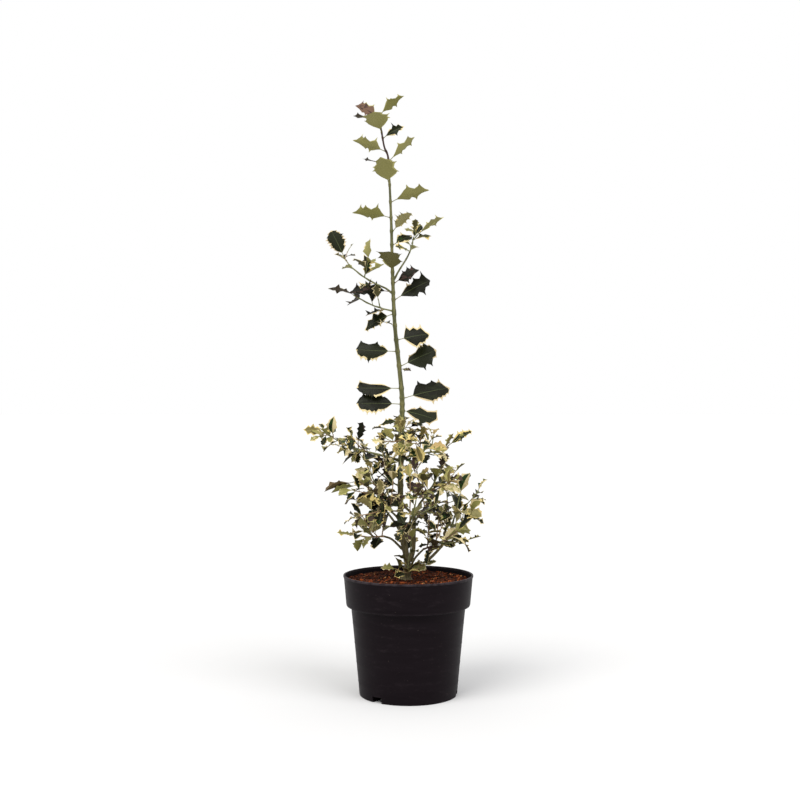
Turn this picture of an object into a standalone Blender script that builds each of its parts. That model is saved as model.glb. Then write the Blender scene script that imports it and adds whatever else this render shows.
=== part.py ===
"""Young variegated holly in a nursery pot.

A single leader with spiny leaves stands in a pot of bark mix. Low boughs make a
bush round its foot, and three side shoots leave it half way up. Metres, +Z up.
The origin is the centre of the pot's underside, and -Y is the front.
"""

import math
import random

import bmesh
import bpy
from mathutils import Matrix, Vector, noise
from mathutils.bvhtree import BVHTree

MM = 0.001
GAP = 0.3 * MM
UP = Vector((0, 0, 1))

# Pot: a turned shell with a deep band under its rim
POT_HEIGHT = 174 * MM
RIM_RADIUS = 95 * MM
LIP = 0.9 * MM
LIP_HEIGHT = 2.6 * MM
BAND_HEIGHT = 45 * MM
BAND_FOOT_RADIUS = 90.6 * MM
BAND_ROUND = 2.5 * MM
BODY_TOP_RADIUS = 83.7 * MM
FOOT_RADIUS = 71.4 * MM
FOOT_ROUND = 1.2 * MM
WALL = 1.8 * MM
FLOOR = 3 * MM
POT_SEGMENTS = 32

# Drain notches cut through the foot of the wall
NOTCH_WIDTH = 12 * MM
NOTCH_HEIGHT = 7 * MM
NOTCH_DEPTH = 9 * MM
NOTCH_AZIMUTHS = (-129, -9, 111)

# Potting mix
MIX_TOP = 166 * MM
MIX_LUMP = 1.6 * MM
MIX_LUMP_SIZE = 11 * MM
MIX_FLAT_RADIUS = 16 * MM
MIX_RINGS = 4

# Leader, from its flat cut on the mix to its tip
TRUNK_SIDES = 8
TRUNK_RADIUS = 5.0 * MM
TRUNK_TIP_RADIUS = 1.0 * MM
TRUNK_TAPER = 0.9
FLARE = 3.2 * MM
FLARE_HEIGHT = 6 * MM
FLARE_LOBES = 4
TRUNK_BENDS = (
    (-3, 0, 166.3), (-1, 0, 189), (-6, 1, 218), (-10.5, 2, 247), (-11.4, 3, 298), (-10, 2, 364),
    (-9, 0, 429), (-14, -2, 484), (-20, -3, 543), (-23, -2, 617), (-25, 0, 691), (-27.5, 1, 749),
    (-29.5, 1, 784), (-35, 0, 799), (-39, -1, 821), (-43, -1, 848),
)

# Boughs: what carries each one, the height it leaves at, its bends and its end radii in mm
BOUGH_SIDES = 6
FORK_SPREAD = 2.3 * MM
BOUGHS = {
    "second_stem": ("trunk", 196, ((7, -4, 209), (8, -5, 236), (8.3, -6, 263)), 3.4, 3.0),
    "left_mid": ("second_stem", None, ((-9, -13, 277), (-20, -16, 284)), 2.0, 1.6),
    "right_mid": ("second_stem", None, ((16, -9, 277), (24, -11, 288)), 2.0, 1.6),
    "left_low": ("trunk", 212, ((-24, -6, 226), (-36, -10, 231)), 1.9, 1.5),
    "left_high": ("trunk", 341, ((-27, -4, 345), (-42, -7, 349)), 2.3, 1.8),
    "right_high": ("trunk", 343, ((2, 4, 347), (14, 6, 351)), 2.0, 1.6),
    "right_far": ("trunk", 180, ((28, 9, 193), (48, 14, 212), (60, 16, 228)), 2.6, 1.9),
    "right_low": ("trunk", 184, ((10, -14, 200), (22, -22, 214)), 1.8, 1.5),
    "back_left": ("trunk", 236, ((-20, 20, 248), (-30, 34, 260)), 2.0, 1.6),
    "back_right": ("trunk", 226, ((4, 20, 240), (14, 34, 254)), 2.0, 1.6),
    "front_left": ("trunk", 250, ((-17, -17, 260), (-24, -29, 268)), 1.8, 1.5),
    "front_right": ("trunk", 219, ((-4, -19, 234), (1, -32, 250)), 1.8, 1.5),
    "upper_left": ("trunk", 586, ((-33, -3, 592), (-42, -4, 596)), 1.6, 1.3),
    "upper_right": ("trunk", 606, ((-14, 3, 618), (-3, 8, 636), (2, 9, 646)), 1.5, 1.2),
}

# Foliage masses: what carries each one, the height its stem leaves at, and its shoots.
# A shoot has its start along the mass's first shoot, its end in mm, its leaves and their length.
MASSES = {
    "left_high": ("left_high", None, (
        (0, (-118, -14, 379), 7, 40), (0.25, (-80, -36, 374), 4, 32), (0.3, (-84, 20, 362), 4, 30),
        (0.45, (-96, -30, 362), 2, 28), (0.97, (-121, -13, 381), 0, 48), (0.88, (-109, -18, 379), 0, 42),
        (0.4, (-73, -14, 368), 0, 42), (0.38, (-76, -16, 347), 0, 34))),
    "left_mid": ("left_mid", None, (
        (0, (-73, -26, 313), 5, 38), (0.25, (-54, -54, 318), 3, 34), (0.35, (-62, 0, 338), 4, 34),
        (0.5, (-78, -44, 300), 2, 32), (0.97, (-79, -27, 311), 0, 57), (0.85, (-74, -27, 307), 0, 54),
        (0.1, (-34, -40, 306), 3, 30))),
    "left_low": ("left_low", None, (
        (0, (-78, -20, 234), 4, 32), (0.2, (-66, -32, 262), 3, 32), (0.35, (-74, 12, 252), 3, 30),
        (0.3, (-56, -40, 242), 2, 28), (0.05, (-34, -6, 274), 3, 28))),
    "right_high": ("right_high", None, (
        (0, (60, 10, 359), 4, 42), (0.15, (32, -16, 370), 3, 34), (0.4, (38, 36, 376), 3, 30),
        (0.3, (40, -22, 350), 2, 30), (0.05, (18, -18, 376), 2, 32), (0.9, (59, 8, 362), 0, 54))),
    "right_mid": ("right_mid", None, (
        (0, (47, -16, 329), 6, 32), (0.25, (60, -38, 312), 4, 32), (0.4, (66, 2, 320), 3, 30),
        (0.2, (20, -40, 312), 4, 30), (0.05, (6, -28, 334), 4, 32))),
    "right_far": ("right_far", None, (
        (0, (77, 20, 290), 5, 46), (0.55, (104, 26, 294), 4, 34), (0.2, (58, 44, 290), 4, 32),
        (0.25, (92, 0, 262), 3, 32), (0.1, (40, 4, 268), 4, 30))),
    "right_low": ("right_low", None, (
        (0, (70, -38, 242), 6, 36), (0.45, (84, -18, 226), 3, 32), (0.25, (48, -62, 252), 4, 32),
        (0.35, (44, -14, 258), 3, 30), (0.1, (30, -32, 262), 5, 32), (0.42, (40, -30, 218), 0, 38))),
    "back_left": ("back_left", None, (
        (0, (-64, 84, 304), 5, 36), (0.25, (-84, 54, 280), 4, 34), (0.35, (-34, 90, 280), 4, 34))),
    "back_right": ("back_right", None, (
        (0, (46, 90, 302), 5, 36), (0.25, (70, 64, 276), 4, 34), (0.35, (14, 86, 320), 4, 34))),
    "front_left": ("front_left", None, (
        (0, (-44, -76, 296), 5, 34), (0.35, (-70, -60, 266), 3, 32), (0.25, (-14, -80, 276), 4, 32),
        (0.1, (-22, -52, 314), 4, 32))),
    "front_right": ("front_right", None, (
        (0, (12, -72, 296), 5, 34), (0.35, (40, -66, 282), 4, 32), (0.2, (-8, -66, 248), 4, 30),
        (0.15, (22, -44, 278), 4, 30), (0.1, (2, -54, 318), 4, 32))),
    "centre_left": ("trunk", 304, (
        (0, (-48, 6, 328), 5, 38), (0.4, (-38, 34, 348), 3, 34), (0.3, (-32, -22, 336), 3, 34))),
    "centre_front": ("trunk", 366, (
        (0, (-8, -38, 388), 4, 36), (0.4, (14, -38, 366), 3, 34), (0.3, (-34, -34, 370), 3, 34),
        (0.1, (-12, -44, 336), 3, 34))),
    "centre_back": ("trunk", 378, (
        (0, (-4, 40, 398), 4, 36), (0.3, (-32, 40, 386), 3, 34))),
    "foot": ("trunk", 177, (
        (0, (-2, -18, 180), 2, 28), (0.5, (-18, -16, 184), 2, 28), (0.6, (22, -22, 190), 2, 28),
        (0.7, (4, -27, 228), 4, 30), (0.2, (-8, -16, 186), 0, 34), (0.3, (8, -15, 186), 0, 36))),
    "upper_left": ("upper_left", None, (
        (0, (-86, -8, 625), 3, 36), (0.5, (-58, -16, 632), 3, 36), (0.95, (-93, -9, 636), 0, 54),
        (0, (-50, -5, 594), 0, 60))),
    "upper_left_low": ("trunk", 559, (
        (0, (-80, 6, 583), 3, 48), (0.3, (-44, -8, 576), 0, 34))),
    "upper_right": ("upper_right", None, (
        (0, (8, 12, 668), 3, 32), (0.9, (14, 8, 672), 0, 54), (0.05, (-3, -3, 650), 0, 40))),
}
TWIG_SIDES = 3
TWIG_RADIUS = 1.3 * MM
TWIG_TIP_RADIUS = 1.0 * MM
TWIG_STEPS = 3
SHOOT_SAG = 0.05
SPACE_MARGIN = 46 * MM
LEAF_TRIES = 5
FACING_FRONT = ("left_high", "right_high", "upper_left", "upper_right")
FRONT_TURN = 0.9
BARE_TIPS = ("left_high", "left_mid", "right_high")
MASS_SEED = 41

# Leaves that stand singly on the leader: height in mm, azimuth, rise, length and width in mm,
# and how far the upper face tips towards the front
LEADER_LEAVES = (
    (846, 0, 42, 44, 22, -30), (843, 188, 28, 37, 28, 50), (820, 255, 31, 46, 38, -40),
    (838, 176, 16, 38, 16, 0), (812, -20, 28, 34, 20, 60), (793, 172, 24, 50, 24, -35),
    (780, 20, 48, 52, 22, -30), (773, 188, 18, 38, 14, 0), (744, 250, 46, 50, 36, -45),
    (719, -6, 20, 57, 26, -35), (696, 174, 12, 55, 26, -35), (676, -22, 44, 38, 24, -30),
    (656, 24, 32, 34, 22, 50), (616, 262, 38, 46, 34, -38), (600, -14, 30, 40, 28, 50),
    (576, 2, 32, 58, 32, 55), (554, 188, -27, 46, 28, 50), (538, 238, 8, 44, 22, 30),
    (517, -10, 12, 46, 36, 70), (500, 178, 5, 58, 32, 70), (479, 6, 27, 57, 38, 60),
    (446, 182, 3, 62, 30, 65), (432, 11, 15, 71, 38, 60), (423, 186, 3, 63, 34, 65),
    (413, -12, -12, 50, 32, 55),
)

# One holly leaf
LEAF_THICKNESS = 0.8 * MM
PETIOLE = 0.14
PETIOLE_WIDTH = 1.0 * MM
LEAF_FOLD = 0.05
LEAF_DROOP = 0.10
WIDTH_TO_LENGTH = (0.48, 0.64)
OLD_LEAF_HEIGHT = 510 * MM
# Rim corners as share of the length, share of the half width and lift, then the midrib's shares
YOUNG_OUTLINE = (
    ((0.27, 0.50, 0.06), (0.38, 0.48, 0), (0.50, 0.94, 0.11), (0.63, 0.66, -0.02),
     (0.76, 0.92, 0.10), (0.88, 0.38, 0)),
    (0.40, 0.70))
OLD_OUTLINE = (
    ((0.20, 0.52, 0.04), (0.33, 0.80, 0), (0.50, 1.0, 0.06), (0.66, 0.86, 0),
     (0.80, 0.72, 0.06), (0.91, 0.36, 0)),
    (0.40, 0.70))
BUSH_OUTLINE = (
    ((0.40, 0.86, 0.10), (0.59, 0.60, -0.02), (0.76, 0.90, 0.10)),
    (0.55,))


def clear_scene():
    for thing in list(bpy.data.objects):
        bpy.data.objects.remove(thing, do_unlink=True)


def material(name, colour, roughness):
    """A plain Principled material."""
    made = bpy.data.materials.new(name)
    made.use_nodes = True
    shader = made.node_tree.nodes["Principled BSDF"]
    shader.inputs["Base Color"].default_value = (*colour, 1)
    shader.inputs["Roughness"].default_value = roughness
    shader.inputs["Metallic"].default_value = 0
    made.diffuse_color = (*colour, 1)
    return made


def add_object(name, corners, faces, finish, place=None):
    """Makes a mesh object from corners and faces, under the plant's root empty."""
    mesh = bpy.data.meshes.new(name)
    mesh.from_pydata([tuple(corner) for corner in corners], [], faces)
    mesh.materials.append(finish)
    form = bmesh.new()
    form.from_mesh(mesh)
    bmesh.ops.recalc_face_normals(form, faces=form.faces)
    form.to_mesh(mesh)
    form.free()
    made = bpy.data.objects.new(name, mesh)
    bpy.context.scene.collection.objects.link(made)
    if place is not None:
        made.matrix_world = place
    return made


def mm(triple):
    return Vector(triple) * MM


def smooth(points, per_span):
    """Points on a Catmull-Rom curve through the given points."""
    ends = [2 * points[0] - points[1], *points, 2 * points[-1] - points[-2]]
    curve = []
    for a, b, c, d in zip(ends, ends[1:], ends[2:], ends[3:]):
        for step in range(per_span):
            t = step / per_span
            curve.append(0.5 * (2 * b + (c - a) * t + (2 * a - 5 * b + 4 * c - d) * t**2
                                + (3 * b - a - 3 * c + d) * t**3))
    return curve + [points[-1]]


def directions(points, first=None):
    """Unit vectors along a path, with the first one set where a start direction is given."""
    along = [(after - before).normalized() for before, after in
             zip([points[0], *points[:-1]], [*points[1:], points[-1]])]
    if first is not None:
        along[0] = first.normalized()
    return along


def tube(points, radii, sides, first=None, lobes=None):
    """Corners and faces of a closed tube along points, with flat ends."""
    along = directions(points, first)
    turn = along[0].orthogonal().normalized()
    corners, faces = [], []
    for index, (centre, heading, radius) in enumerate(zip(points, along, radii)):
        turn = (turn - heading * turn.dot(heading)).normalized()
        across = heading.cross(turn)
        for side in range(sides):
            angle = 2 * math.pi * side / sides
            swell = lobes(index, angle) if lobes else 1
            corners.append(centre + (turn * math.cos(angle) + across * math.sin(angle)) * radius * swell)
    for ring in range(len(points) - 1):
        for side in range(sides):
            low = ring * sides + side
            next_low = ring * sides + (side + 1) % sides
            faces.append((low, next_low, next_low + sides, low + sides))
    faces.append(tuple(reversed(range(sides))))
    faces.append(tuple(range(len(corners) - sides, len(corners))))
    return corners, faces


def turned(name, profile, finish):
    """Spins a closed half profile of (radius, height) pairs round the Z axis."""
    form = bmesh.new()
    corners = [form.verts.new((radius, 0, height)) for radius, height in profile]
    edges = [form.edges.new(pair) for pair in zip(corners, corners[1:])]
    bmesh.ops.spin(form, geom=corners + edges, cent=(0, 0, 0), axis=UP, angle=2 * math.pi,
                   steps=POT_SEGMENTS, use_merge=True)
    bmesh.ops.remove_doubles(form, verts=form.verts, dist=0.01 * MM)
    bmesh.ops.recalc_face_normals(form, faces=form.faces)
    mesh = bpy.data.meshes.new(name)
    form.to_mesh(mesh)
    form.free()
    mesh.materials.append(finish)
    mesh.shade_smooth()
    mesh.set_sharp_from_angle(angle=math.radians(35))
    made = bpy.data.objects.new(name, mesh)
    bpy.context.scene.collection.objects.link(made)
    return made


def body_radius(height):
    """The pot's outer radius below its band."""
    return FOOT_RADIUS + (BODY_TOP_RADIUS - FOOT_RADIUS) * height / (POT_HEIGHT - BAND_HEIGHT)


def band_radius(height):
    """The pot's outer radius in its band, below the lip."""
    share = (height - POT_HEIGHT + BAND_HEIGHT) / BAND_HEIGHT
    return BAND_FOOT_RADIUS + (RIM_RADIUS - LIP - BAND_FOOT_RADIUS) * share


def make_pot(plastic):
    band = POT_HEIGHT - BAND_HEIGHT
    ledge = band + WALL
    outer = [(0, 0), (FOOT_RADIUS - FOOT_ROUND, 0), (FOOT_RADIUS, FOOT_ROUND),
             (BODY_TOP_RADIUS, band), (BAND_FOOT_RADIUS - BAND_ROUND, band),
             (BAND_FOOT_RADIUS - 0.3 * BAND_ROUND, band + 0.3 * BAND_ROUND),
             (BAND_FOOT_RADIUS, band + BAND_ROUND),
             (RIM_RADIUS - LIP, POT_HEIGHT - LIP_HEIGHT - LIP), (RIM_RADIUS, POT_HEIGHT - LIP_HEIGHT),
             (RIM_RADIUS, POT_HEIGHT - 0.5 * LIP), (RIM_RADIUS - 0.5 * LIP, POT_HEIGHT)]
    inner = [(RIM_RADIUS - LIP - WALL, POT_HEIGHT), (BAND_FOOT_RADIUS - WALL, band + BAND_ROUND + WALL),
             (BAND_FOOT_RADIUS - BAND_ROUND - WALL, ledge), (body_radius(band) - WALL, ledge),
             (body_radius(FLOOR) - WALL, FLOOR), (0, FLOOR)]
    pot = turned("pot", outer + inner, plastic)
    for azimuth in NOTCH_AZIMUTHS:
        cutter = make_notch(azimuth)
        cut = pot.modifiers.new("Drain notch", "BOOLEAN")
        cut.operation = "DIFFERENCE"
        cut.object = cutter
    return pot


def make_notch(azimuth):
    """A guide block across the foot of the wall, which the pot is cut by."""
    bpy.ops.mesh.primitive_cube_add(size=1)
    cutter = bpy.context.object
    cutter.name = "notch_guide"
    turn = Matrix.Rotation(math.radians(azimuth), 4, "Z")
    reach = FOOT_RADIUS + NOTCH_DEPTH / 2
    size = Matrix.Diagonal((2 * NOTCH_DEPTH, NOTCH_WIDTH, 2 * NOTCH_HEIGHT, 1))
    cutter.data.transform(turn @ Matrix.Translation((reach, 0, 0)) @ size)
    cutter.hide_render = True
    cutter.display_type = "WIRE"
    return cutter


def make_mix(bark_mix):
    """The potting mix: it fills the pot to below its rim, with a lumpy top."""
    ledge = POT_HEIGHT - BAND_HEIGHT + WALL + GAP
    top_radius = band_radius(MIX_TOP) - WALL - 2 * GAP
    sides = [(0, FLOOR + GAP), (body_radius(FLOOR) - WALL - 2 * GAP, FLOOR + GAP),
             (BODY_TOP_RADIUS - WALL - 2 * GAP, ledge),
             (BAND_FOOT_RADIUS - BAND_ROUND - WALL - 2 * GAP, ledge),
             (BAND_FOOT_RADIUS - WALL - 2 * GAP, ledge + BAND_ROUND + 2 * GAP)]
    spread = [MIX_FLAT_RADIUS + (top_radius - MIX_FLAT_RADIUS) * ring / MIX_RINGS
              for ring in range(MIX_RINGS, -1, -1)]
    top = [(radius, MIX_TOP) for radius in spread]
    mix = turned("potting_mix", sides + top + [(0, MIX_TOP)], bark_mix)
    for corner in mix.data.vertices:
        place = corner.co
        reach = math.hypot(place.x, place.y)
        if place.z > MIX_TOP - GAP and reach > MIX_FLAT_RADIUS + GAP:
            place.z += MIX_LUMP * noise.noise(place / MIX_LUMP_SIZE)
    return mix


def trunk_share(height):
    """How far up the leader a height lies, from 0 at the mix to 1 at its tip."""
    foot, tip = TRUNK_BENDS[0][2] * MM, TRUNK_BENDS[-1][2] * MM
    return min(max((height - foot) / (tip - foot), 0), 1)


def trunk_radius(height):
    taper = (1 - trunk_share(height)) ** TRUNK_TAPER
    foot = TRUNK_BENDS[0][2] * MM
    flare = FLARE * math.exp((foot - height) / FLARE_HEIGHT)
    return TRUNK_TIP_RADIUS + (TRUNK_RADIUS - TRUNK_TIP_RADIUS) * taper + flare


def trunk_line(per_span):
    bends = smooth([mm(bend) for bend in TRUNK_BENDS], per_span)
    flare_steps = [bends[0].lerp(bends[1], share) for share in (0.25, 0.6)] if per_span == 2 else []
    return [bends[0], *flare_steps, *bends[1:]]


def trunk_axis(height):
    """The leader's centre at a height."""
    line = trunk_line(8)
    for low, high in zip(line, line[1:]):
        if height <= high.z:
            return low.lerp(high, (height - low.z) / (high.z - low.z))
    return line[-1]


def make_trunk(bark):
    line = trunk_line(2)

    def root_lobes(index, angle):
        depth = 0.22 * math.exp((line[0].z - line[index].z) / FLARE_HEIGHT)
        return 1 + depth * math.cos(FLARE_LOBES * angle)

    radii = [trunk_radius(point.z) for point in line]
    corners, faces = tube(line, radii, TRUNK_SIDES, first=UP, lobes=root_lobes)
    return add_object("trunk", corners, faces, bark)


def trunk_exit(height, towards, radius):
    """Where a limb of this radius leaves the leader towards a point, and its direction there."""
    axis = trunk_axis(height)
    out = (towards - axis) * Vector((1, 1, 0))
    out.normalize()
    return axis + out * (trunk_radius(height) + GAP), out


class Limb:
    """A path with its end radius, which another limb or a mass grows on from."""

    def __init__(self, points, tip_radius):
        self.points = points
        self.tip_radius = tip_radius
        self.heading = (points[-1] - points[-2]).normalized()

    def next_start(self, side=None):
        """A start just past the tip, set to one side where the limb forks."""
        start = self.points[-1] + self.heading * GAP
        if side is not None:
            across = (side - self.heading * side.dot(self.heading)).normalized()
            start += across * FORK_SPREAD
        return start, self.heading


def make_boughs(bark):
    """Makes each bough as one tapering limb, and returns their paths by name."""
    limbs = {}
    for name, (carrier, height, bends, base_radius, tip_radius) in BOUGHS.items():
        bends = [mm(bend) for bend in bends]
        if carrier == "trunk":
            start, out = trunk_exit(height * MM, bends[0], base_radius * MM)
        else:
            start, out = limbs[carrier].next_start(side=bends[0] - limbs[carrier].points[-1])
        line = smooth([start, *bends], 3)
        radii = [(base_radius + (tip_radius - base_radius) * step / (len(line) - 1)) * MM
                 for step in range(len(line))]
        corners, faces = tube(line, radii, BOUGH_SIDES, first=out)
        add_object(f"bough_{name}", corners, faces, bark)
        limbs[name] = Limb(line, tip_radius * MM)
    return limbs


def leaf_form(length, width, outline, grow=0):
    """Corners and faces of one leaf: root at the origin, tip along +X, upper face +Z.

    The rim is an edge with spines and notches, the midrib gives the thickness, and
    grow swells the leaf for clearance tests.
    """
    half = width / 2 + grow
    thick = LEAF_THICKNESS / 2 + grow
    stalk = PETIOLE_WIDTH / 2 + grow
    spines, rib_shares = outline

    def place(share, across, lift):
        return Vector((share * length, across, lift - LEAF_DROOP * length * share**2))

    corners = [place(share, across * stalk, lift * stalk) for share in (0, PETIOLE)
               for across, lift in ((1, 0), (0, 1), (-1, 0), (0, -1))]
    rims = ([4], [6])
    ribs = ([5], [7])
    for rim, sign in zip(rims, (1, -1)):
        for share, reach, wave in spines:
            rim.append(len(corners))
            corners.append(place(share, sign * half * reach, (LEAF_FOLD * reach + wave) * width))
    for rib, lift in zip(ribs, (thick, -thick)):
        for share in rib_shares:
            rib.append(len(corners))
            corners.append(place(share, 0, lift))
    tip = len(corners)
    corners.append(place(1 + grow / length, 0, 0))
    faces = [(0, 1, 2, 3)]
    faces += [(side, (side + 1) % 4, (side + 1) % 4 + 4, side + 4) for side in range(4)]
    for rim in rims:
        for rib in ribs:
            faces += blade_faces(corners, [*rim, tip], [*rib, tip])
    return corners, faces


def blade_faces(corners, rim, rib):
    """Triangles between a leaf's rim and its midrib, which meet at the tip."""
    faces = []
    outer, inner = 0, 0
    while (outer, inner) != (len(rim) - 2, len(rib) - 2):
        ahead, beside = rim[outer + 1], rib[inner + 1]
        if corners[ahead].x < corners[beside].x:
            faces.append((rim[outer], ahead, rib[inner]))
            outer += 1
        else:
            faces.append((rim[outer], beside, rib[inner]))
            inner += 1
    return [*faces, (rim[-2], rim[-1], rib[-2])]


def leaf_place(root, heading, face):
    """The matrix that sets a leaf's root, direction and upper face."""
    along = heading.normalized()
    across = face.cross(along).normalized()
    above = along.cross(across)
    turn = Matrix((along, across, above)).transposed().to_4x4()
    return Matrix.Translation(root) @ turn


def add_leaf(name, length, width, outline, place, finish):
    corners, faces = leaf_form(length, width, outline)
    return add_object(name, corners, faces, finish, place)


def shape_of(thing):
    """A search tree of an object's evaluated faces in world space."""
    bpy.context.view_layer.update()
    mesh = thing.evaluated_get(bpy.context.evaluated_depsgraph_get()).data
    corners = [thing.matrix_world @ corner.co for corner in mesh.vertices]
    return BVHTree.FromPolygons(corners, [tuple(face.vertices) for face in mesh.polygons])


def form_tree(corners, faces, place=None):
    if place is not None:
        corners = [place @ corner for corner in corners]
    return BVHTree.FromPolygons(corners, faces)


def touches(candidate, trees):
    return any(candidate.overlap(tree) for tree in trees)


def make_leader_leaves(leaf_finish):
    """The leaves that stand singly round the leader."""
    leaves = []
    for number, row in enumerate(LEADER_LEAVES, 1):
        height, azimuth, rise, length, width, tip_forward = row
        azimuth, rise, tip_forward = (math.radians(angle) for angle in (azimuth, rise, tip_forward))
        out = Vector((math.cos(azimuth), math.sin(azimuth), 0))
        clear = trunk_radius(height * MM) + GAP + PETIOLE_WIDTH / 2 * abs(math.sin(rise))
        root = trunk_axis(height * MM) + out * clear
        heading = out * math.cos(rise) + UP * math.sin(rise)
        face = Vector((0, -math.sin(tip_forward), math.cos(tip_forward)))
        place = leaf_place(root, heading, face)
        name = f"leader_leaf_{number:02d}"
        outline = YOUNG_OUTLINE if height * MM > OLD_LEAF_HEIGHT else OLD_OUTLINE
        leaves.append(add_leaf(name, length * MM, width * MM, outline, place, leaf_finish))
    return leaves


def rising(start, end, steps):
    """A shoot that sets out low and turns up towards its end."""
    sag = SHOOT_SAG * (end - start).length
    shares = [step / steps for step in range(steps + 1)]
    return [start.lerp(end, share) - UP * 4 * sag * share * (1 - share) for share in shares]


def on_path(path, share):
    """A point and a direction part of the way along a path."""
    spot = share * (len(path) - 1)
    low = min(int(spot), len(path) - 2)
    return path[low].lerp(path[low + 1], spot - low), (path[low + 1] - path[low]).normalized()


def shoot_leaves(path, count, length, rng, turned=0):
    """Draws each leaf of a shoot: alternate leaves round it, and one at its tip."""
    for number in range(count + 1):
        for attempt in range(LEAF_TRIES):
            share = 1 if number == count else (number + 0.5) / count
            root, along = on_path(path, share)
            azimuth = math.radians(137.5 * number + rng.uniform(-40, 40))
            spread = math.radians(rng.uniform(8, 22) if number == count else rng.uniform(45, 70))
            across = along.orthogonal().normalized()
            out = Matrix.Rotation(azimuth, 3, along) @ across
            heading = along * math.cos(spread) + out * math.sin(spread) - UP * 0.1
            tilt = Vector((rng.uniform(-0.5, 0.5), rng.uniform(-0.8, 0.3) - turned, 1))
            size = length * rng.uniform(0.8, 1.1) * (1 - 0.2 * share)
            width = size * rng.uniform(*WIDTH_TO_LENGTH)
            yield number, root, heading.normalized(), tilt, size, width


def in_space(point, low, high):
    return all(low[axis] <= point[axis] <= high[axis] for axis in range(3))


def join(name, parts):
    """One Boolean union of the first solid with a collection of the others."""
    stem, *others = parts
    stem.name = name
    stem.data.name = name
    if not others:
        return stem
    group = bpy.data.collections.new("to_join")
    bpy.context.scene.collection.children.link(group)
    for part in others:
        group.objects.link(part)
        bpy.context.scene.collection.objects.unlink(part)
    union = stem.modifiers.new("Union", "BOOLEAN")
    union.operation = "UNION"
    union.operand_type = "COLLECTION"
    union.collection = group
    bpy.context.view_layer.objects.active = stem
    with bpy.context.temp_override(object=stem, active_object=stem, selected_objects=[stem]):
        bpy.ops.object.modifier_apply(modifier=union.name)
    for part in others:
        bpy.data.objects.remove(part, do_unlink=True)
    bpy.data.collections.remove(group)
    return stem


def make_mass(name, limbs, obstacles, leaf_finish):
    """A mass of foliage: its shoots, then the leaves that find room on them."""
    carrier, height, shoots = MASSES[name]
    rng = random.Random(f"{name} {MASS_SEED}")
    first_end = mm(shoots[0][1])
    if carrier == "trunk":
        start, out = trunk_exit(height * MM, first_end, TWIG_RADIUS)
        base_radius = TWIG_RADIUS
    else:
        start, out = limbs[carrier].next_start()
        base_radius = limbs[carrier].tip_radius
    ends = [start] + [mm(shoot[1]) for shoot in shoots]
    low = [min(end[axis] for end in ends) - SPACE_MARGIN for axis in range(3)]
    high = [max(end[axis] for end in ends) + SPACE_MARGIN for axis in range(3)]
    parts, stem_path, blades = [], None, []
    for order, (share, end, count, length) in enumerate(shoots):
        turned = FRONT_TURN if count == 0 and name in FACING_FRONT else 0
        if order == 0:
            path = rising(start, mm(end), TWIG_STEPS)
            stem_path = path
            radii = [base_radius + (TWIG_TIP_RADIUS - base_radius) * step / TWIG_STEPS
                     for step in range(TWIG_STEPS + 1)]
            corners, faces = tube(path, radii, TWIG_SIDES, first=out)
        else:
            path = rising(on_path(stem_path, share)[0], mm(end), TWIG_STEPS - 1)
            corners, faces = tube(path, [TWIG_TIP_RADIUS] * len(path), TWIG_SIDES)
            if touches(form_tree(corners, faces), obstacles):
                continue
        parts.append(add_object(f"{name}_twig", corners, faces, leaf_finish))
        filled = set()
        for number, root, heading, face, size, width in shoot_leaves(path, count, length * MM, rng, turned):
            if number in filled or (order == 0 and number == count and name in BARE_TIPS):
                continue
            place = leaf_place(root, heading, face)
            blade = form_tree(*leaf_form(size, width, BUSH_OUTLINE, grow=2 * GAP), place)
            if not in_space(place @ Vector((size, 0, 0)), low, high):
                continue
            if touches(blade, obstacles) or touches(blade, blades):
                continue
            filled.add(number)
            slim = leaf_form(size, width, BUSH_OUTLINE)
            inner = [place @ corner for corner in slim[0]]
            blades.append(BVHTree.FromPolygons(inner, slim[1][5:]))
            parts.append(add_leaf(f"{name}_leaf", size, width, BUSH_OUTLINE, place, leaf_finish))
    for part in parts:
        part.data.transform(part.matrix_world)
        part.matrix_world = Matrix.Identity(4)
    return join(f"foliage_{name}", parts)


def main():
    clear_scene()
    plastic = material("black_plastic", (0.016, 0.013, 0.015), 0.5)
    bark_mix = material("bark_mix", (0.11, 0.035, 0.015), 0.95)
    bark = material("green_bark", (0.16, 0.17, 0.08), 0.6)
    leaf_finish = material("holly_leaf", (0.09, 0.12, 0.05), 0.35)
    plant = [make_pot(plastic), make_mix(bark_mix), make_trunk(bark)]
    limbs = make_boughs(bark)
    plant += [bpy.data.objects[f"bough_{name}"] for name in BOUGHS]
    plant += make_leader_leaves(leaf_finish)
    obstacles = [shape_of(thing) for thing in plant]
    for name in MASSES:
        mass = make_mass(name, limbs, obstacles, leaf_finish)
        obstacles.append(shape_of(mass))
        plant.append(mass)
    root = bpy.data.objects.new("holly_tree", None)
    bpy.context.scene.collection.objects.link(root)
    for thing in plant:
        thing.parent = root


main()
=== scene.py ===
# %% [markdown]
# # A young variegated holly in a nursery pot
#
# This lesson dresses a packed plant model. The model gives the pot, the leader, the boughs and the
# masses of leaves at their real size, as plain solids. Here each of them gets its real surface:
# moulded plastic, loose bark, ribbed young bark, and glossy leaves with a cream spiny margin.
#
# The frame comes first, because every piece is placed by it. The box of the plain model is kept, so
# that the dressed plant can be measured against it at the end.

# %% Load the frame
import math
import random
import bpy
from collections import namedtuple
from mathutils import Euler, Matrix, Vector, kdtree, noise
from mathutils.bvhtree import BVHTree


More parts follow.
